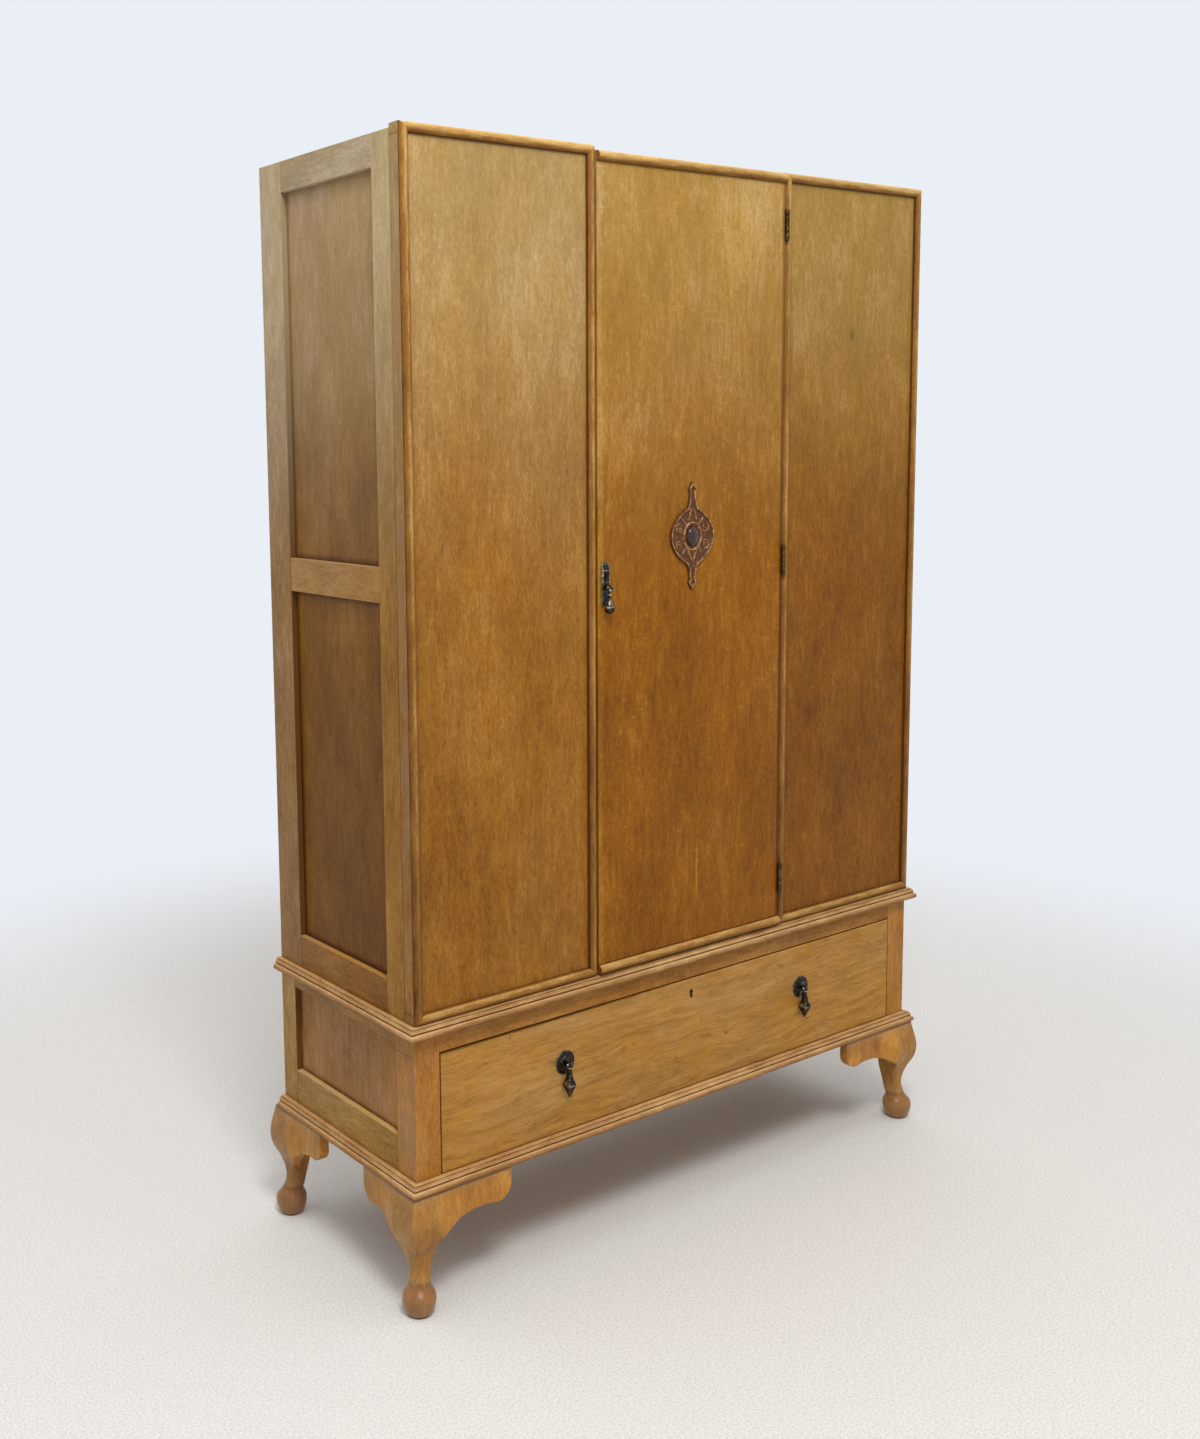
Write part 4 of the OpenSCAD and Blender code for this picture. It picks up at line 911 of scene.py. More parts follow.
for number, side in enumerate(("left", "right")):
    dress(side + "_side_panels", oak(side + "_panel_oak", 2, panel_tones, panel_figure,
        43.9 + number, marks_and_painted_light=side_panel_shade, weather_and_light=fading_and_top_light(panel_tones, panel_pale)), 0)
dress("top_board", oak("top_board_oak", 0, inner_tones, plain_figure, 47.1, rough=0.7))
dress("floor_board", oak("floor_board_oak", 0, inner_tones, plain_figure, 48.3, rough=0.7))
for number, name in enumerate(("back_muntin", "closing_post", "hinge_post")):
    dress(name, oak(name + "_oak", 2, inner_tones, plain_figure, 49.7 + number, rough=0.65))


def back_panel_marks(tone, place):
    """A dark line in the joint between the two back panels."""
    return tone - 0.5 * abs(place[0]).fall(0.0006, 0.0016)


for number, name in enumerate(("left_back_panel", "right_back_panel")):
    dress(name, oak(name + "_ply", 2, ply_tones, plain_figure, 53.7 + number, rough=0.75,
        marks_and_painted_light=back_panel_marks), 0)


# Hanging rail. A brass tube lies in blind holes of two battens, and screws hold the carcase
# down on the base.
rail_brass = brass("rail_brass", tint(126, 104, 58), tint(188, 164, 104), 0.34, 57.1)
dress("rail_bearers", oak("bearer_oak", 1, inner_tones, plain_figure, 58.3, rough=0.65))
dress("hanging_rail", rail_brass, metal_edge)
dress("carcase_screws", lock_brass, 0)


# Front boards. Two wide boards close the front beside the door, faced with upright oak veneer
# and glued over the front edges of the sides. The left one takes the door lock's strike.
board_tones = wood_stops((108, 62, 12), (157, 105, 34), (197, 150, 76), 0.35)
right_tones = wood_stops((90, 48, 6), (138, 85, 14), (182, 127, 46), 0.35)
board_figure = {"patches": 0.4, "streaks": 0.34, "fibre": 0.58, "pores": 0.12}
board_pale = tint(196, 178, 124)
door_pale = tint(196, 168, 92)
foot_shade = 0.06
knot_on_board = (0.406, 1.5505)
bead_w = 0.016


def board_shade_and_knot(name):
    """A dark line of painted shade where the board meets its beads, with a wider faint band of
    painted shade beside it, a slightly darker foot, and a small dark knot high on the right board."""
    low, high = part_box(name)

    def marks_and_painted_light(tone, place):
        gap = nearest(place[0], (low[0] + bead_w, high[0] - bead_w))
        gap = gap.least(nearest(place[2], (low[2] + bead_w, high[2] - bead_w)))
        # Painted shade beside the beads
        tone = tone - 0.3 * gap.fall(0.0005, 0.003) - 0.06 * gap.fall(0.002, 0.014)
        knot_x = abs(place[0] - knot_on_board[0]).fall(0.001, 0.006)
        knot_z = abs(place[2] - knot_on_board[1]).fall(0.002, 0.012)
        return tone - foot_shade * place[2].fall(0.7, 1.6) - 0.35 * (knot_x * knot_z)
    return marks_and_painted_light


def board_weather_and_light(tones, pale):
    """Bleached and painted lighter above, and grey and scuffed on the outer edge."""
    def weather_and_light(colour, place):
        return sun_side(fading_and_top_light(tones, pale)(colour, place), place)
    return weather_and_light


dress("left_front_board", oak("left_board_oak", 2, board_tones, board_figure, 61.7, rough=0.45,
    marks_and_painted_light=board_shade_and_knot("left_front_board"), weather_and_light=board_weather_and_light(board_tones, board_pale)))
dress("right_front_board", oak("right_board_oak", 2, right_tones, board_figure, 63.1, rough=0.45,
    marks_and_painted_light=board_shade_and_knot("right_front_board"), weather_and_light=board_weather_and_light(right_tones, door_pale)))
dress("lock_strike", lock_brass, metal_edge)


# Beads. Half-round lengths are glued round each front board and mitred at the corners. Their
# crests are pale, partly worn and partly a painted highlight, with painted shade at their edges
# and on faces that look sideways, and painted light on faces that look up and high up.
bead_half = bead_w / 2
bead_steps = 26
bead_rows = {"upright": 160, "level": 50, "door": 60}


def bead_length(start, end, across, mitred, rows):
    """A half-round length of bead from start to end, its outer edge on that line. across is the
    way in from that edge. The profile is in = r - r * cos(a), out = r * sin(a)."""
    a = np.linspace(0, np.pi, bead_steps)[:, None]
    inwards = bead_half * (1 - np.cos(a))
    profile = inwards * across + bead_half * np.sin(a) * np.array([0, -1, 0])
    along = (end - start) / np.linalg.norm(end - start)
    back = along * (inwards + mitre_gap if mitred else 0)
    return carried(start + profile + back, end + profile - back, rows)


def bead_frame(box):
    """Four mitred lengths of bead round the face of a board."""
    (x0, y, z0), (x1, _, z1) = box
    corners = np.array([(x0, y, z0), (x1, y, z0), (x1, y, z1), (x0, y, z1)])
    inwards = np.array([(0, 0, 1), (-1, 0, 0), (0, 0, -1), (1, 0, 0)])
    rows = [bead_rows[way] for way in ("level", "upright", "level", "upright")]
    return [bead_length(corners[k], corners[(k + 1) % 4], inwards[k], True, rows[k])
        for k in range(4)]


bead_round = bead_half * math.pi
bead_tones = wood_stops((84, 48, 16), (150, 102, 42), (220, 180, 110), 0.4)
# Painted highlight on the crest, painted shade at both edges and sideways, painted light above
bead_oak = planed_oak("bead_oak", 67.9, [(bead_round * 0.5, 0.006, 0.05)],
    [(0, 0.003, 0.25), (bead_round, 0.003, 0.45)], 0.26, bead_tones, 0.24, 0.16)
for side in ("left", "right"):
    beads = skin("planed_" + side + "_front_beads", bead_frame(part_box(side + "_front_board")))
    beads.data.materials.append(bead_oak)
    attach(beads, "carcase")
    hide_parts(side + "_front_beads")


# Hinges. Three brass butt hinges at the door's right, screwed on, with their knuckles in front
# of the gap. The brass has gone dark.
hinge_brass = brass("hinge_brass", tint(54, 42, 26), tint(112, 92, 56), 0.45, 71.3)
for name in ("hinge_frame_leaves", "hinge_door_leaves", "hinge_pins"):
    dress(name, hinge_brass, metal_edge)
for name in ("hinge_frame_screws", "hinge_door_screws"):
    dress(name, lock_brass, 0)


# Door. One board faced with upright oak veneer whose rays show as short level ripples. It
# stands proud of the boards beside it, and has a bead across its top and its foot.
door_tones = wood_stops((98, 52, 4), (148, 91, 12), (192, 138, 46), 0.35)
door_figure = {"patches": 0.45, "streaks": 0.32, "fibre": 0.54, "pores": 0.1, "rays": 0.13}
door_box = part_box("door_board")
bloom_at = (0.12, 1.70)
scratch_at = (0.01, 0.615)


def door_marks_and_shade(tone, place):
    """Painted shade in dark lines along the beads and in a dark band down the hinge side, a pale
    worn band down the opening edge, a pale upright scratch low down and a pale bloom near the top
    on the hinge side."""
    x, y, z = place
    in_front = y.fall(door_box[0][1] + 0.001, door_box[0][1] + 0.003)
    gap = nearest(z, (door_box[0][2] + bead_w, door_box[1][2] - bead_w))
    face = 0.12 * (x - door_box[0][0]).fall(0.004, 0.016) - 0.3 * gap.fall(0.0005, 0.003)
    # Painted shade down the hinge side, where the gap by the bead lies in shadow
    face = face - 0.5 * (door_box[1][0] - x).fall(0.003, 0.0065)
    scratch = abs(x - scratch_at[0]).fall(0.0005, 0.0035) * abs(z - scratch_at[1]).fall(0.02, 0.06)
    bloom_x = abs(x - bloom_at[0]).fall(0, 0.11)
    bloom_z = abs(z - bloom_at[1]).fall(0, 0.22)
    face = face + 0.25 * scratch + 0.12 * (bloom_x * bloom_z)
    return tone - foot_shade * z.fall(0.7, 1.6) + face * in_front


dress("door_board", oak("door_oak", 2, door_tones, door_figure, 76.3, rough=0.45, marks_and_painted_light=door_marks_and_shade,
    weather_and_light=fading_and_top_light(door_tones, door_pale)))

door_face = door_box[0][1]
bead_ends = [(np.array([door_box[0][0], door_face, z]), np.array([door_box[1][0], door_face, z]),
    np.array([0, 0, way])) for z, way in ((door_box[0][2], 1), (door_box[1][2], -1))]
door_beads = skin("planed_door_beads",
    [bead_length(*ends, False, bead_rows["door"]) for ends in bead_ends])
door_beads.data.materials.append(bead_oak)
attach(door_beads, "door")
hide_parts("door_beads")
for name in ("door_lock_case", "door_lock_bolt"):
    dress(name, lock_brass, metal_edge)


# Ornament. A carved cartouche glued to the middle of the door: a rim, a ring round an oval
# boss, and scrolls between them on a sunk ground, with a finial above and below.
ornament_mid = np.mean(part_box("door_ornament"), axis=0)
carved_half_w = 0.051
carved_half_h = 0.092
body_half = 0.052
neck_start = 0.043
neck_half_w = 0.0062
neck_flare = 0.0112
flare_z = 0.044
flare_run = 0.0095
tip_widest = 0.080
tip_half_w = 0.0095
tip_taper = 0.79
tip_flare = 0.4
ground_h = 0.0022
rim_h = 0.0030
rim_in = 0.0026
rim_wide = 0.0017
worn_in = 0.0022
worn_wide = 0.0009
finial_start = 0.060
finial_rim_wide = 0.002
notch_z = 0.0685
notch_deep = 0.0012
notch_wide = 0.0012
boss_half = (0.0130, 0.0165)
boss_h = 0.0098
boss_foot = 0.0030
moat_deep = 0.25
moat_wide = 0.12
ring_r = 0.0200
ring_long = 0.0030
ring_wide = 0.0013
carved_wall = 0.0008
carved_rows = 400
carved_columns = 190
arc_open = 50
arc_fade = 25
# Strokes of the right half: how high each is, and an arc's middle, radius, the way it opens in
# degrees and its width, or a line's two ends and its width
arc_strokes = [(0.85, (0.0305, 0.0150), 0.0074, 150, 0.0011),
    (0.85, (0.0305, -0.0150), 0.0074, 210, 0.0011), (0.7, (0.029, 0.0150), 0.003, 60, 0.0010),
    (0.7, (0.029, -0.0150), 0.003, 300, 0.0010)]
line_strokes = [(0.85, (0.0145, 0.0200), (0.0245, 0.0300), 0.0011),
    (0.85, (0.0155, -0.0190), (0.0225, -0.0290), 0.0011),
    (0.9, (0.0115, -0.0190), (0.0012, -0.0430), 0.0012),
    (0.9, (0.0085, 0.0290), (0.0035, 0.0450), 0.0012)]


def carved_width(z):
    """Half width of the cartouche at each height: a body
    carved_half_w * (1 - (z / body_half) ** 2) ** 0.75, a neck that flares into it, and a finial
    like a notched diamond at each end."""
    up = np.abs(z)
    body = carved_half_w * np.maximum(0, 1 - (up / body_half) ** 2) ** 0.75
    neck = neck_half_w + neck_flare * np.exp(-(up - flare_z) / flare_run)
    neck = np.where((up > neck_start) & (up < tip_widest), neck, 0)
    tip = tip_half_w - tip_taper * np.maximum(0, up - tip_widest)
    tip = tip - tip_flare * np.maximum(0, tip_widest - up)
    return np.maximum(np.maximum(body, neck), np.maximum(tip, 0.0001))


def ridge(distance, width):
    """A rounded ridge one high where distance is 0: exp(-(distance / width) ** 2)."""
    return np.exp(-(distance / width) ** 2)


def arc_ridge(x, z, middle, radius, opening, width):
    """A ridge along a circle, left open round the direction opening: within arc_open degrees of
    it there is none, and arc_fade degrees further it has its whole height."""
    dx = x - middle[0]
    dz = z - middle[1]
    ring = ridge(np.hypot(dx, dz) - radius, width)
    turn = np.degrees(np.arctan2(dz, dx)) - opening
    away = np.abs((turn + 180) % 360 - 180)
    return ring * np.clip((away - arc_open) / arc_fade, 0, 1)


def line_ridge(x, z, start, end, width):
    """A ridge along a straight line with soft ends."""
    start = np.array(start)
    run = np.array(end) - start
    t = np.clip(((x - start[0]) * run[0] + (z - start[1]) * run[1]) / (run @ run), 0, 1)
    return ridge(np.hypot(x - start[0] - t * run[0], z - start[1] - t * run[1]), width)


def carving(x, z, half_w):
    """Height of the carving over the door, and how rubbed each point is, or -1 on the boss. x and
    z are measured from its middle, and both halves are alike. The ground carries the highest of
    the rim, the ring and the strokes, and the boss is half an ellipsoid on a low foot, with a
    shallow moat round it."""
    x = np.abs(x)
    slope = np.gradient(half_w[:, 0], z[:, 0])[:, None]
    edge = (half_w - x) / np.sqrt(1 + slope ** 2)
    rim = ridge(np.maximum(0, edge - rim_in), rim_wide)
    rim = np.where(np.abs(z) > finial_start, ridge(edge - worn_in, finial_rim_wide), rim)
    ring = ridge(np.hypot(x, z * ring_r / (ring_r + ring_long)) - ring_r, ring_wide)
    arcs = [high * arc_ridge(x, z, *stroke) for high, *stroke in arc_strokes]
    lines = [high * line_ridge(x, z, *stroke) for high, *stroke in line_strokes]
    inner = np.maximum.reduce([ring, *arcs, *lines])
    rubbed = np.maximum(ridge(edge - worn_in, worn_wide), inner)
    notch = notch_deep * ridge(np.abs(z) - notch_z, notch_wide)
    height = ground_h + rim_h * np.maximum(rim, inner) - notch
    across = np.hypot(x / boss_half[0], z / boss_half[1])
    dome = np.sqrt(np.maximum(0, 1 - np.minimum(across, 1) ** 2))
    boss = np.where(across < 1, boss_foot + (boss_h - boss_foot) * dome, 0)
    moat = ridge(np.maximum(0, across - 1), moat_wide) * (across >= 1)
    height = height * (1 - moat_deep * moat)
    wall = np.clip(edge / carved_wall, 0, 1) ** 0.5
    return np.maximum(height, boss) * wall, np.where(boss > height, -1, rubbed)


carved_z = carved_half_h * np.sin(np.linspace(-np.pi / 2, np.pi / 2, carved_rows))[:, None]
carved_w = carved_width(carved_z)
carved_x = carved_w * np.sin(np.linspace(-np.pi / 2, np.pi / 2, carved_columns))
carved_z = np.broadcast_to(carved_z, carved_x.shape)
carved_h, carved_rubbed = carving(carved_x, carved_z, carved_w)
carved_grid = np.stack([ornament_mid[0] + carved_x, door_face - carved_h,
    ornament_mid[2] + carved_z], axis=-1)
carved_tones = [(0, tint(88, 50, 24)), (0.4, tint(134, 88, 42)), (0.95, tint(206, 158, 98))]
boss_colour = tint(50, 24, 18)


def carved_finish():
    """Mottled dark brown stain with the ridges rubbed pale, and a darker, glossier boss."""
    made, paper = material("carved_wood")
    place = paper.node("TexCoord", {}, {}, out=3)
    worn = paper.node("Attribute", {"attribute_name": "worn"}, {}, out=2)
    boss = worn.fall(-0.9, -0.3)
    speck = place.cloud(500, 2, 0.6) - 0.5
    blotch = place.cloud(150, 3, 0.6) - 0.5
    tone = worn * (0.8 + 1.8 * blotch) + 0.5 * speck + 1.3 * blotch
    colour = boss.between(tone.toned(carved_tones), boss_colour)
    polish(paper, colour, 0.4 + 0.12 * speck - 0.16 * boss, speck, grain_deep,
        {"Specular IOR Level": 0.25, "Coat Weight": boss * 0.6, "Coat Roughness": 0.2})
    return made


ornament = skin("carved_ornament", [carved_grid], [carved_rubbed], 60)
ornament.data.materials.append(carved_finish())
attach(ornament, "door")
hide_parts("door_ornament")


# Door's handle. A pressed brass plate, nailed on, with a bead across it and a keyhole, and a
# stud whose pin carries a cast drop. The brass has gone nearly black, and its edges are worn.
handle_low, handle_high = [np.array(corner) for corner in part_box("door_handle_plate")]
handle_x = (handle_low[0] + handle_high[0]) / 2
handle_r = 0.0095
handle_t = 0.0018
handle_flat = 0.0011
handle_bead = 0.0147
handle_nail = 0.0045
handle_nail_r = 0.0015
handle_rim = 0.0009
handle_rim_wide = 0.0006
handle_bead_wide = 0.0008
handle_bead_in = 0.0012
handle_wall = 0.0006
handle_rows = 330
handle_columns = 90
stud_flat_r = 0.0052
stud_slope = 0.0006
keyhole_top = 0.0192
keyhole_foot = 0.0290
keyhole_r = 0.0025
keyhole_slot = 0.0011
keyhole_h = 0.0001
keyhole_slope = 0.0003
# Place and width of a painted highlight down the plate's left side
strip_at = -0.0062
strip_wide = 0.0022
pivot_up = 0.032
pivot_out = 0.009
pin_r = 0.0016
pin_hole_r = 0.00165
tongue_half = 0.002
tongue_r = 0.0036
cheek_start = 0.0023
cheek_end = 0.0047
cheek_r = 0.0034
cheek_low = 0.0058
pin_head_r = 0.0024
pin_head_start = cheek_end + 0.00005
pin_reach = 0.0059
turned_columns = 40
cast_columns = 64
eye_angles = 97
shut = 2e-5
# Radius of a drop's shoulder and its height over the pin, from its foot up
drop_shoulder = [(shut, -0.0067), (0.0040, -0.0067), (0.0050, -0.0060), (0.0052, -0.0050),
    (0.0048, -0.0043), (shut, -0.0043)]


def handle_plate_grid():
    """Heights over a plate with a round top: a flat with a ridge along its rim, a bead across,
    two domed nails, a round flat under the stud, and a sunk keyhole."""
    z = np.linspace(handle_low[2], handle_high[2] - 1e-5, handle_rows)[:, None]
    over = np.maximum(0, z - (handle_high[2] - handle_r))
    half = np.sqrt(np.maximum(1e-8, handle_r ** 2 - over ** 2))
    x = half * np.sin(np.linspace(-np.pi / 2, np.pi / 2, handle_columns))
    z = np.broadcast_to(z, x.shape)
    sides = np.where(over > 0, handle_r - np.hypot(x, over), half - np.abs(x))
    foot = z - handle_low[2]
    edge = np.minimum(sides, foot)
    down = handle_high[2] - z
    rim = ridge(edge - handle_rim, handle_rim_wide)
    bead = ridge(down - handle_bead, handle_bead_wide) * (edge > handle_bead_in)
    height = handle_flat + (handle_t - handle_flat) * np.maximum(rim, bead)
    nails = np.zeros_like(x)
    for level in (handle_nail, handle_high[2] - handle_low[2] - handle_nail):
        across = np.hypot(x, down - level) / handle_nail_r
        nails = np.maximum(nails, np.sqrt(np.maximum(0, 1 - across ** 2)))
    height = np.maximum(height, handle_flat * (nails > 0) + (handle_t - handle_flat) * nails)
    stud = np.clip((stud_flat_r - np.hypot(x, foot - pivot_up)) / stud_slope, 0, 1)
    height = np.maximum(height, handle_t * stud)
    round_part = np.hypot(x, down - keyhole_top - keyhole_r) - keyhole_r
    slot_part = np.maximum(np.abs(x) - keyhole_slot, np.maximum(keyhole_top + keyhole_r - down,
        down - keyhole_foot))
    hole = np.clip(0.5 - np.minimum(round_part, slot_part) / keyhole_slope, 0, 1)
    height = height + (keyhole_h - height) * hole
    wall = np.clip(sides / handle_wall, 0, 1) ** 0.5
    wall = wall * (0.2 + 0.8 * np.clip(foot / handle_wall, 0, 1) ** 0.5)
    # A painted highlight down the plate's left side, carried in the worn values
    strip = 0.5 * ridge(x - strip_at, strip_wide)
    # The keyhole's negative values are painted black by the finish, as shade down the hole
    worn = np.maximum.reduce([0.7 * rim, bead, nails, strip]) - 3 * hole
    return np.stack([handle_x + x, door_face - height * wall, z], axis=-1), worn


def eye_plate(reach, x0, x1, middle):
    """A flat piece with a round hole for the pin, from x0 to x1. At each angle a its section
    runs from the hole's wall out to reach(a), and its outer corners are rounded off."""
    a = np.linspace(0, 2 * np.pi, eye_angles)
    edge = reach(a)
    round_off = 0.0003
    section_r = np.stack([np.full_like(edge, pin_hole_r), edge - round_off, edge, edge,
        edge - round_off, np.full_like(edge, pin_hole_r)], axis=-1)
    section_x = np.array([x0, x0, x0 + round_off, x1 - round_off, x1, x1])
    return middle + np.stack([np.broadcast_to(section_x, section_r.shape),
        section_r * np.cos(a)[:, None], section_r * np.sin(a)[:, None]], axis=-1)


def tongue_edge(a):
    """Round in front of the pin, and straight sided back to the plate."""
    side = np.minimum(tongue_r / np.maximum(np.abs(np.sin(a)), 1e-6),
        pivot_out / np.maximum(np.abs(np.cos(a)), 1e-6))
    return np.where(np.cos(a) < 0, tongue_r, side)


def cheek_edge(a):
    """Round above the pin, and straight sided down to the drop's shoulder."""
    side = np.minimum(cheek_r / np.maximum(np.abs(np.cos(a)), 1e-6),
        cheek_low / np.maximum(np.abs(np.sin(a)), 1e-6))
    return np.where(np.sin(a) > 0, cheek_r, side)


def turned(profile, middle, axis):
    """A turned piece: a ring of radius r at a distance t along the axis for each r and t."""
    r, t = np.array(profile).T
    a = np.linspace(0, 2 * np.pi, turned_columns, endpoint=False)
    rings = [r[:, None] * np.cos(a), r[:, None] * np.sin(a)]
    rings.insert(axis, np.broadcast_to(t[:, None], rings[0].shape))
    return middle + np.stack(rings, axis=-1)


def stud_grids(middle):
    """The tongue and the pin across it, whose ends are riveted over to low domes."""
    rise = pin_reach - pin_head_start
    end = [(pin_head_r * np.cos(b), pin_head_start + rise * np.sin(b))
        for b in np.linspace(0, np.pi / 2, 8)[:-1]]
    end = [(pin_r, pin_head_start)] + end + [(shut, pin_reach)]
    pin = [(r, -t) for r, t in reversed(end)] + end
    grids = [eye_plate(tongue_edge, -tongue_half, tongue_half, middle), turned(pin, middle, 0)]
    heads = np.repeat([[abs(t) > cheek_end] for _, t in pin], turned_columns, axis=1)
    return grids, [np.full(grids[0].shape[:2], 0.1), heads.astype(float)]


def drop_grids(middle, z, wide, deep, square, worn):
    """Two cheeks, a shoulder below them, and a cast body: at each height a ring with half widths
    wide and deep, x = wide * k * cos a and y = deep * k * sin a, where
    k = 1 / (|cos a| ** square + |sin a| ** square) ** (1 / square)."""
    grids = [eye_plate(cheek_edge, *sorted((s * cheek_start, s * cheek_end)), middle)
        for s in (-1, 1)]
    grids.append(turned(drop_shoulder, middle, 2))
    a = np.linspace(0, 2 * np.pi, cast_columns, endpoint=False)
    p = square[:, None]
    k = 1 / (np.abs(np.cos(a)) ** p + np.abs(np.sin(a)) ** p) ** (1 / p)
    rings = [wide[:, None] * k * np.cos(a), deep[:, None] * k * np.sin(a)]
    grids.append(middle + np.stack([*rings, np.broadcast_to(z[:, None], k.shape)], axis=-1))
    body_worn = worn if worn.ndim == 2 else np.repeat(worn[:, None], cast_columns, axis=1)
    flat_worn = [np.full(grid.shape[:2], level) for grid, level in zip(grids, (0.2, 0.2, 0.7))]
    return grids, flat_worn + [body_worn]


def dark_brass_finish():
    """Brass gone nearly black, grey green where it is rubbed and where the worn values set a
    painted highlight, and painted black as shade down the keyhole.
    """
    made, paper = material("dark_brass")
    place = paper.node("TexCoord", {}, {}, out=3)
    worn = paper.node("Attribute", {"attribute_name": "worn"}, {}, out=2)
    patch = place.cloud(220, 3, 0.6)
    grit = place.cloud(1800, 2, 0.6)
    # The worn values hold wear and also painted highlights on the drops and the handle plate's left
    # side
    rubbed = (patch + 0.5 * worn + 0.1 * (grit - 0.5)).rise(0.5, 1.08)
    colour = rubbed.between(tint(48, 41, 38), tint(188, 180, 154))
    # Painted black shade down the keyhole
    colour = worn.fall(-1.5, -0.5).between(colour, tint(6, 5, 4))
    polish(paper, colour, 0.44 - 0.16 * rubbed, grit, 0.00004, {"Metallic": 1.0})
    return made


dark_brass = dark_brass_finish()
handle_pivot = np.array([handle_x, door_face - 0.002 - pivot_out, handle_low[2] + pivot_up])
plate_grid, plate_worn = handle_plate_grid()
stud, stud_worn = stud_grids(handle_pivot)
handle_plate = skin("pressed_handle_plate", [plate_grid] + stud, [plate_worn] + stud_worn)
handle_plate.data.materials.append(dark_brass)
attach(handle_plate, "door")
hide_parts("door_handle_plate")

neck_r = 0.0026
ring_z = 0.0127
ring_half_h = 0.0010
ring_out = 0.0015
bulb_r = 0.0075
bulb_z = 0.0365
bulb_wider = 0.16
bulb_flare_top = 0.0160
bulb_flare_run = 0.0185


def handle_drop_body():
    """Heights, half widths, squareness and wear, with painted highlights on the neck and the
    shoulder,
    of a thin neck with a ring round it, that flares to a bulb with a round bottom:
    r = neck_r + (bulb_r - neck_r) * f * f * (3 - 2 * f)."""
    z = -np.concatenate([np.linspace(0.0065, ring_z - 0.0012, 4),
        np.linspace(ring_z - ring_half_h, ring_z + ring_half_h, 9),
        np.linspace(0.0140, bulb_z, 40),
        bulb_z + bulb_r * np.sin(np.linspace(0.05, np.pi / 2, 18))])
    flare = np.clip((-z - bulb_flare_top) / bulb_flare_run, 0, 1)
    bulb = np.sqrt(np.maximum(1e-5, 1 - np.clip((-z - bulb_z) / bulb_r, 0, 1) ** 2))
    r = (neck_r + (bulb_r - neck_r) * flare ** 2 * (3 - 2 * flare)) * bulb
    r = r + ring_out * np.sqrt(np.maximum(0, 1 - ((z + ring_z) / ring_half_h) ** 2))
    # The ring's wear is real; the bands on the shoulder and the neck are painted highlights
    worn = np.maximum.reduce([ridge(z + ring_z, 0.0014), 0.8 * ridge(z + 0.0325, 0.0018),
        0.5 * ridge(z + 0.0245, 0.006)])
    return z, r * (1 + bulb_wider * flare), r, np.full_like(z, 2.0), worn


handle_drop, drop_wear_and_highlights = drop_grids(handle_pivot, *handle_drop_body())
door_drop = skin("cast_handle_drop", handle_drop, drop_wear_and_highlights)
door_drop.data.materials.append(dark_brass)
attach(door_drop, "door_drop")
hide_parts("door_handle_drop")


# Drawer's pulls. Each is a domed round brass plate with a rim, and a stud that carries a cast
# drop cut to four facets that widen to a sharp edge and end in a point.
pull_low, pull_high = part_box("pull_plates")
pull_z = (pull_low[2] + pull_high[2]) / 2
pull_r = (pull_high[2] - pull_low[2]) / 2
pull_x = pull_high[0] - pull_r
pull_t = 0.003
dome_r = 0.0172
dome_start = 0.0010
dome_steps = 24
# Radius and thickness of the plate's rim and groove
pull_rim = [(0.0205, 0), (0.0205, 0.0008), (0.0201, 0.0014), (0.0194, 0.0016), (0.0187, 0.0014),
    (0.0181, 0.0009), (0.0176, 0.0008)]


def pull_plate_grid(side):
    """A turned plate: a rounded rim, a groove and a dome whose thickness is
    dome_start + (pull_t - dome_start) * sqrt(1 - (r / dome_r) ** 2)."""
    b = np.linspace(0, np.pi / 2, dome_steps)
    dome_t = dome_start + (pull_t - dome_start) * np.sin(b)
    dome = np.stack([np.maximum(dome_r * np.cos(b), shut), dome_t], axis=-1)
    r, t = np.vstack([pull_rim, dome]).T
    grid = turned(np.stack([r, -t], axis=-1), (side * pull_x, front_y, pull_z), 1)
    worn = 0.6 * ridge(r - 0.0200, 0.0006) + 0.1 * (r < 0.012)
    return grid, np.repeat(worn[:, None], turned_columns, axis=1)


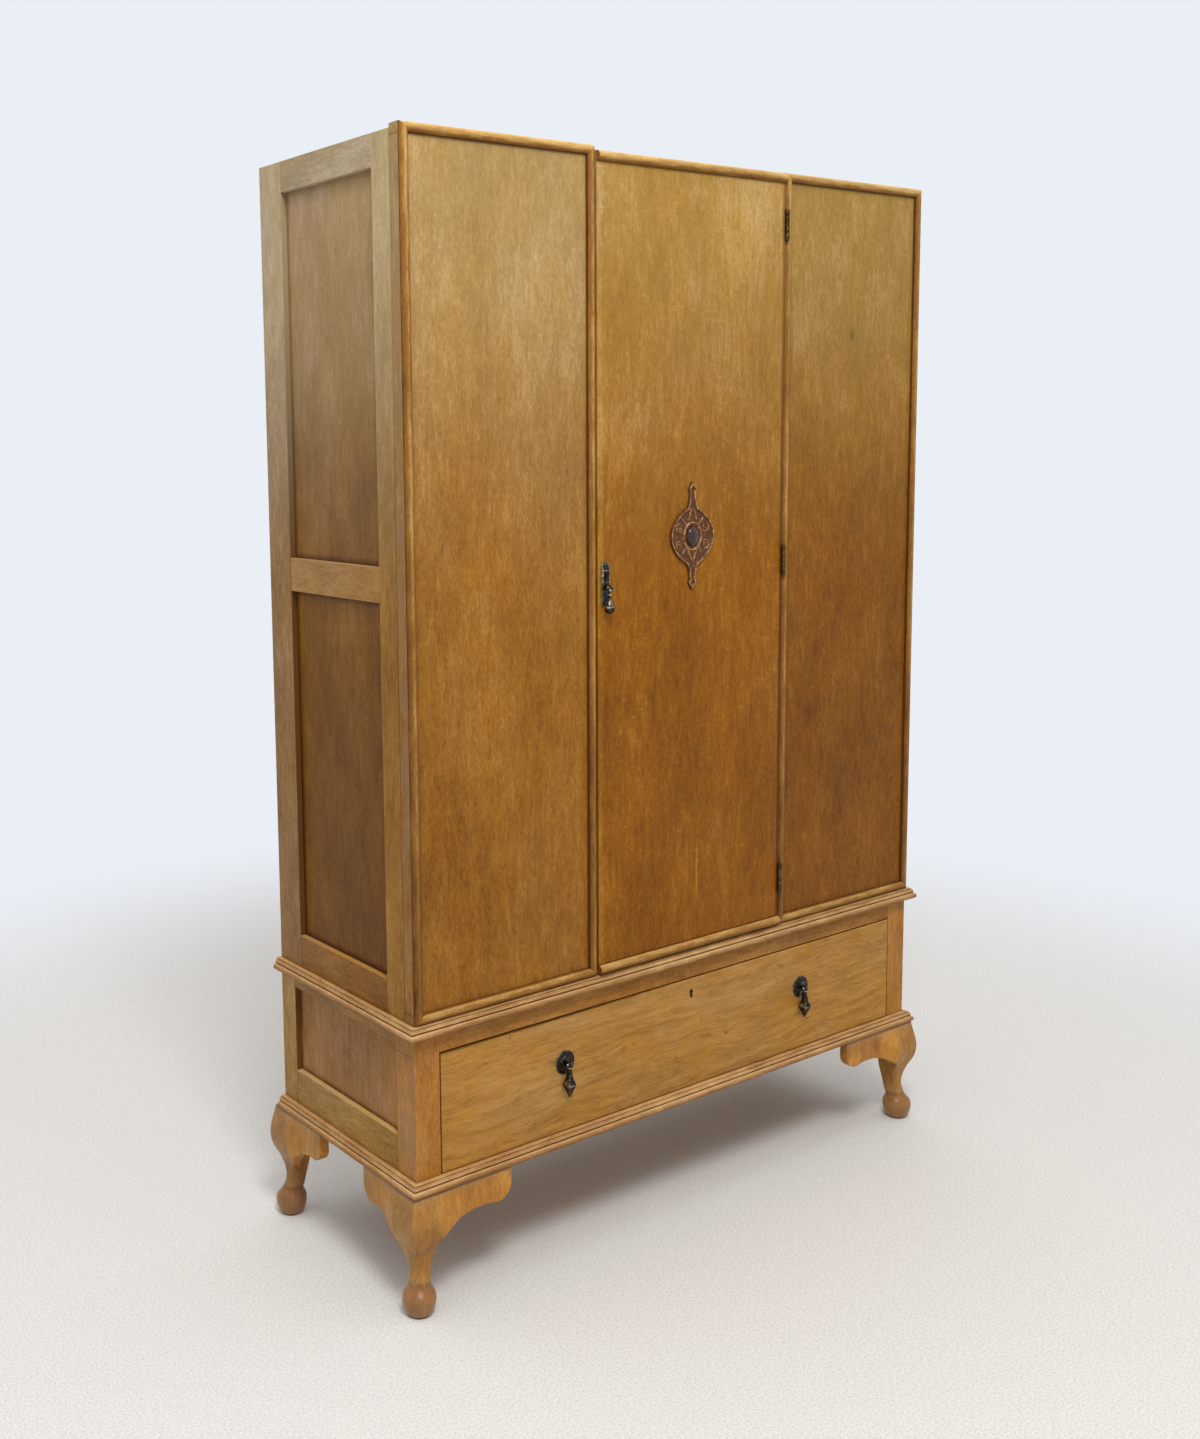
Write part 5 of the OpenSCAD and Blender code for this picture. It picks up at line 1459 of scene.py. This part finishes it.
# Distance down from the pin, half width and squareness of the pull's drop
pull_drop_rows = np.array([(0.0065, 0.0044, 2.0), (0.0090, 0.0042, 2.0), (0.0115, 0.0042, 2.2),
    (0.0150, 0.0044, 3.0), (0.0190, 0.0044, 6.0), (0.0235, 0.0047, 14.0), (0.0345, 0.0085, 22.0),
    (0.0356, 0.0085, 22.0), (0.0556, 0.0012, 12.0), (0.0570, 0.00003, 2.0)])


def pull_drop_body():
    """Heights, half widths, squareness and wear, with a painted highlight on the left facets, of a
    round neck, then four flat facets out to a sharp edge and in again to a point, each row joined
    straight to the next."""
    down = np.sort(np.concatenate([pull_drop_rows[:, 0], np.linspace(0.018, 0.034, 24),
        np.linspace(0.037, 0.055, 24)]))
    half, square = [np.interp(down, pull_drop_rows[:, 0], pull_drop_rows[:, k]) for k in (1, 2)]
    a = np.linspace(0, 2 * np.pi, cast_columns, endpoint=False)
    edge = ridge(down - 0.0350, 0.0007)[:, None]
    corner = ridge(np.cos(2 * a), 0.12) * (down > 0.016)[:, None]
    # A painted highlight on the left facets, just above the sharp edge
    left = ridge(a - np.pi, 0.7) * ridge(down - 0.0315, 0.0035)[:, None]
    return -down, half, half, square, np.maximum(np.maximum(edge, 0.6 * corner), 0.9 * left)


pull_grids = []
pull_worn = []
for side, body_name in ((-1, "left_pull"), (1, "right_pull")):
    plate_grid, plate_worn = pull_plate_grid(side)
    pivot = np.array([side * pull_x, front_y - pull_t - pivot_out, pull_z])
    stud, stud_worn = stud_grids(pivot)
    pull_grids += [plate_grid] + stud
    pull_worn += [plate_worn] + stud_worn
    drop, drop_wear_and_highlights = drop_grids(pivot, *pull_drop_body())
    pull_drop = skin("cast_" + body_name + "_drop", drop, drop_wear_and_highlights, 20)
    pull_drop.data.materials.append(dark_brass)
    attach(pull_drop, body_name)
    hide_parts(body_name + "_drop")
pull_plates = skin("turned_pull_plates", pull_grids, pull_worn)
pull_plates.data.materials.append(dark_brass)
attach(pull_plates, "drawer")
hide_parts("pull_plates")
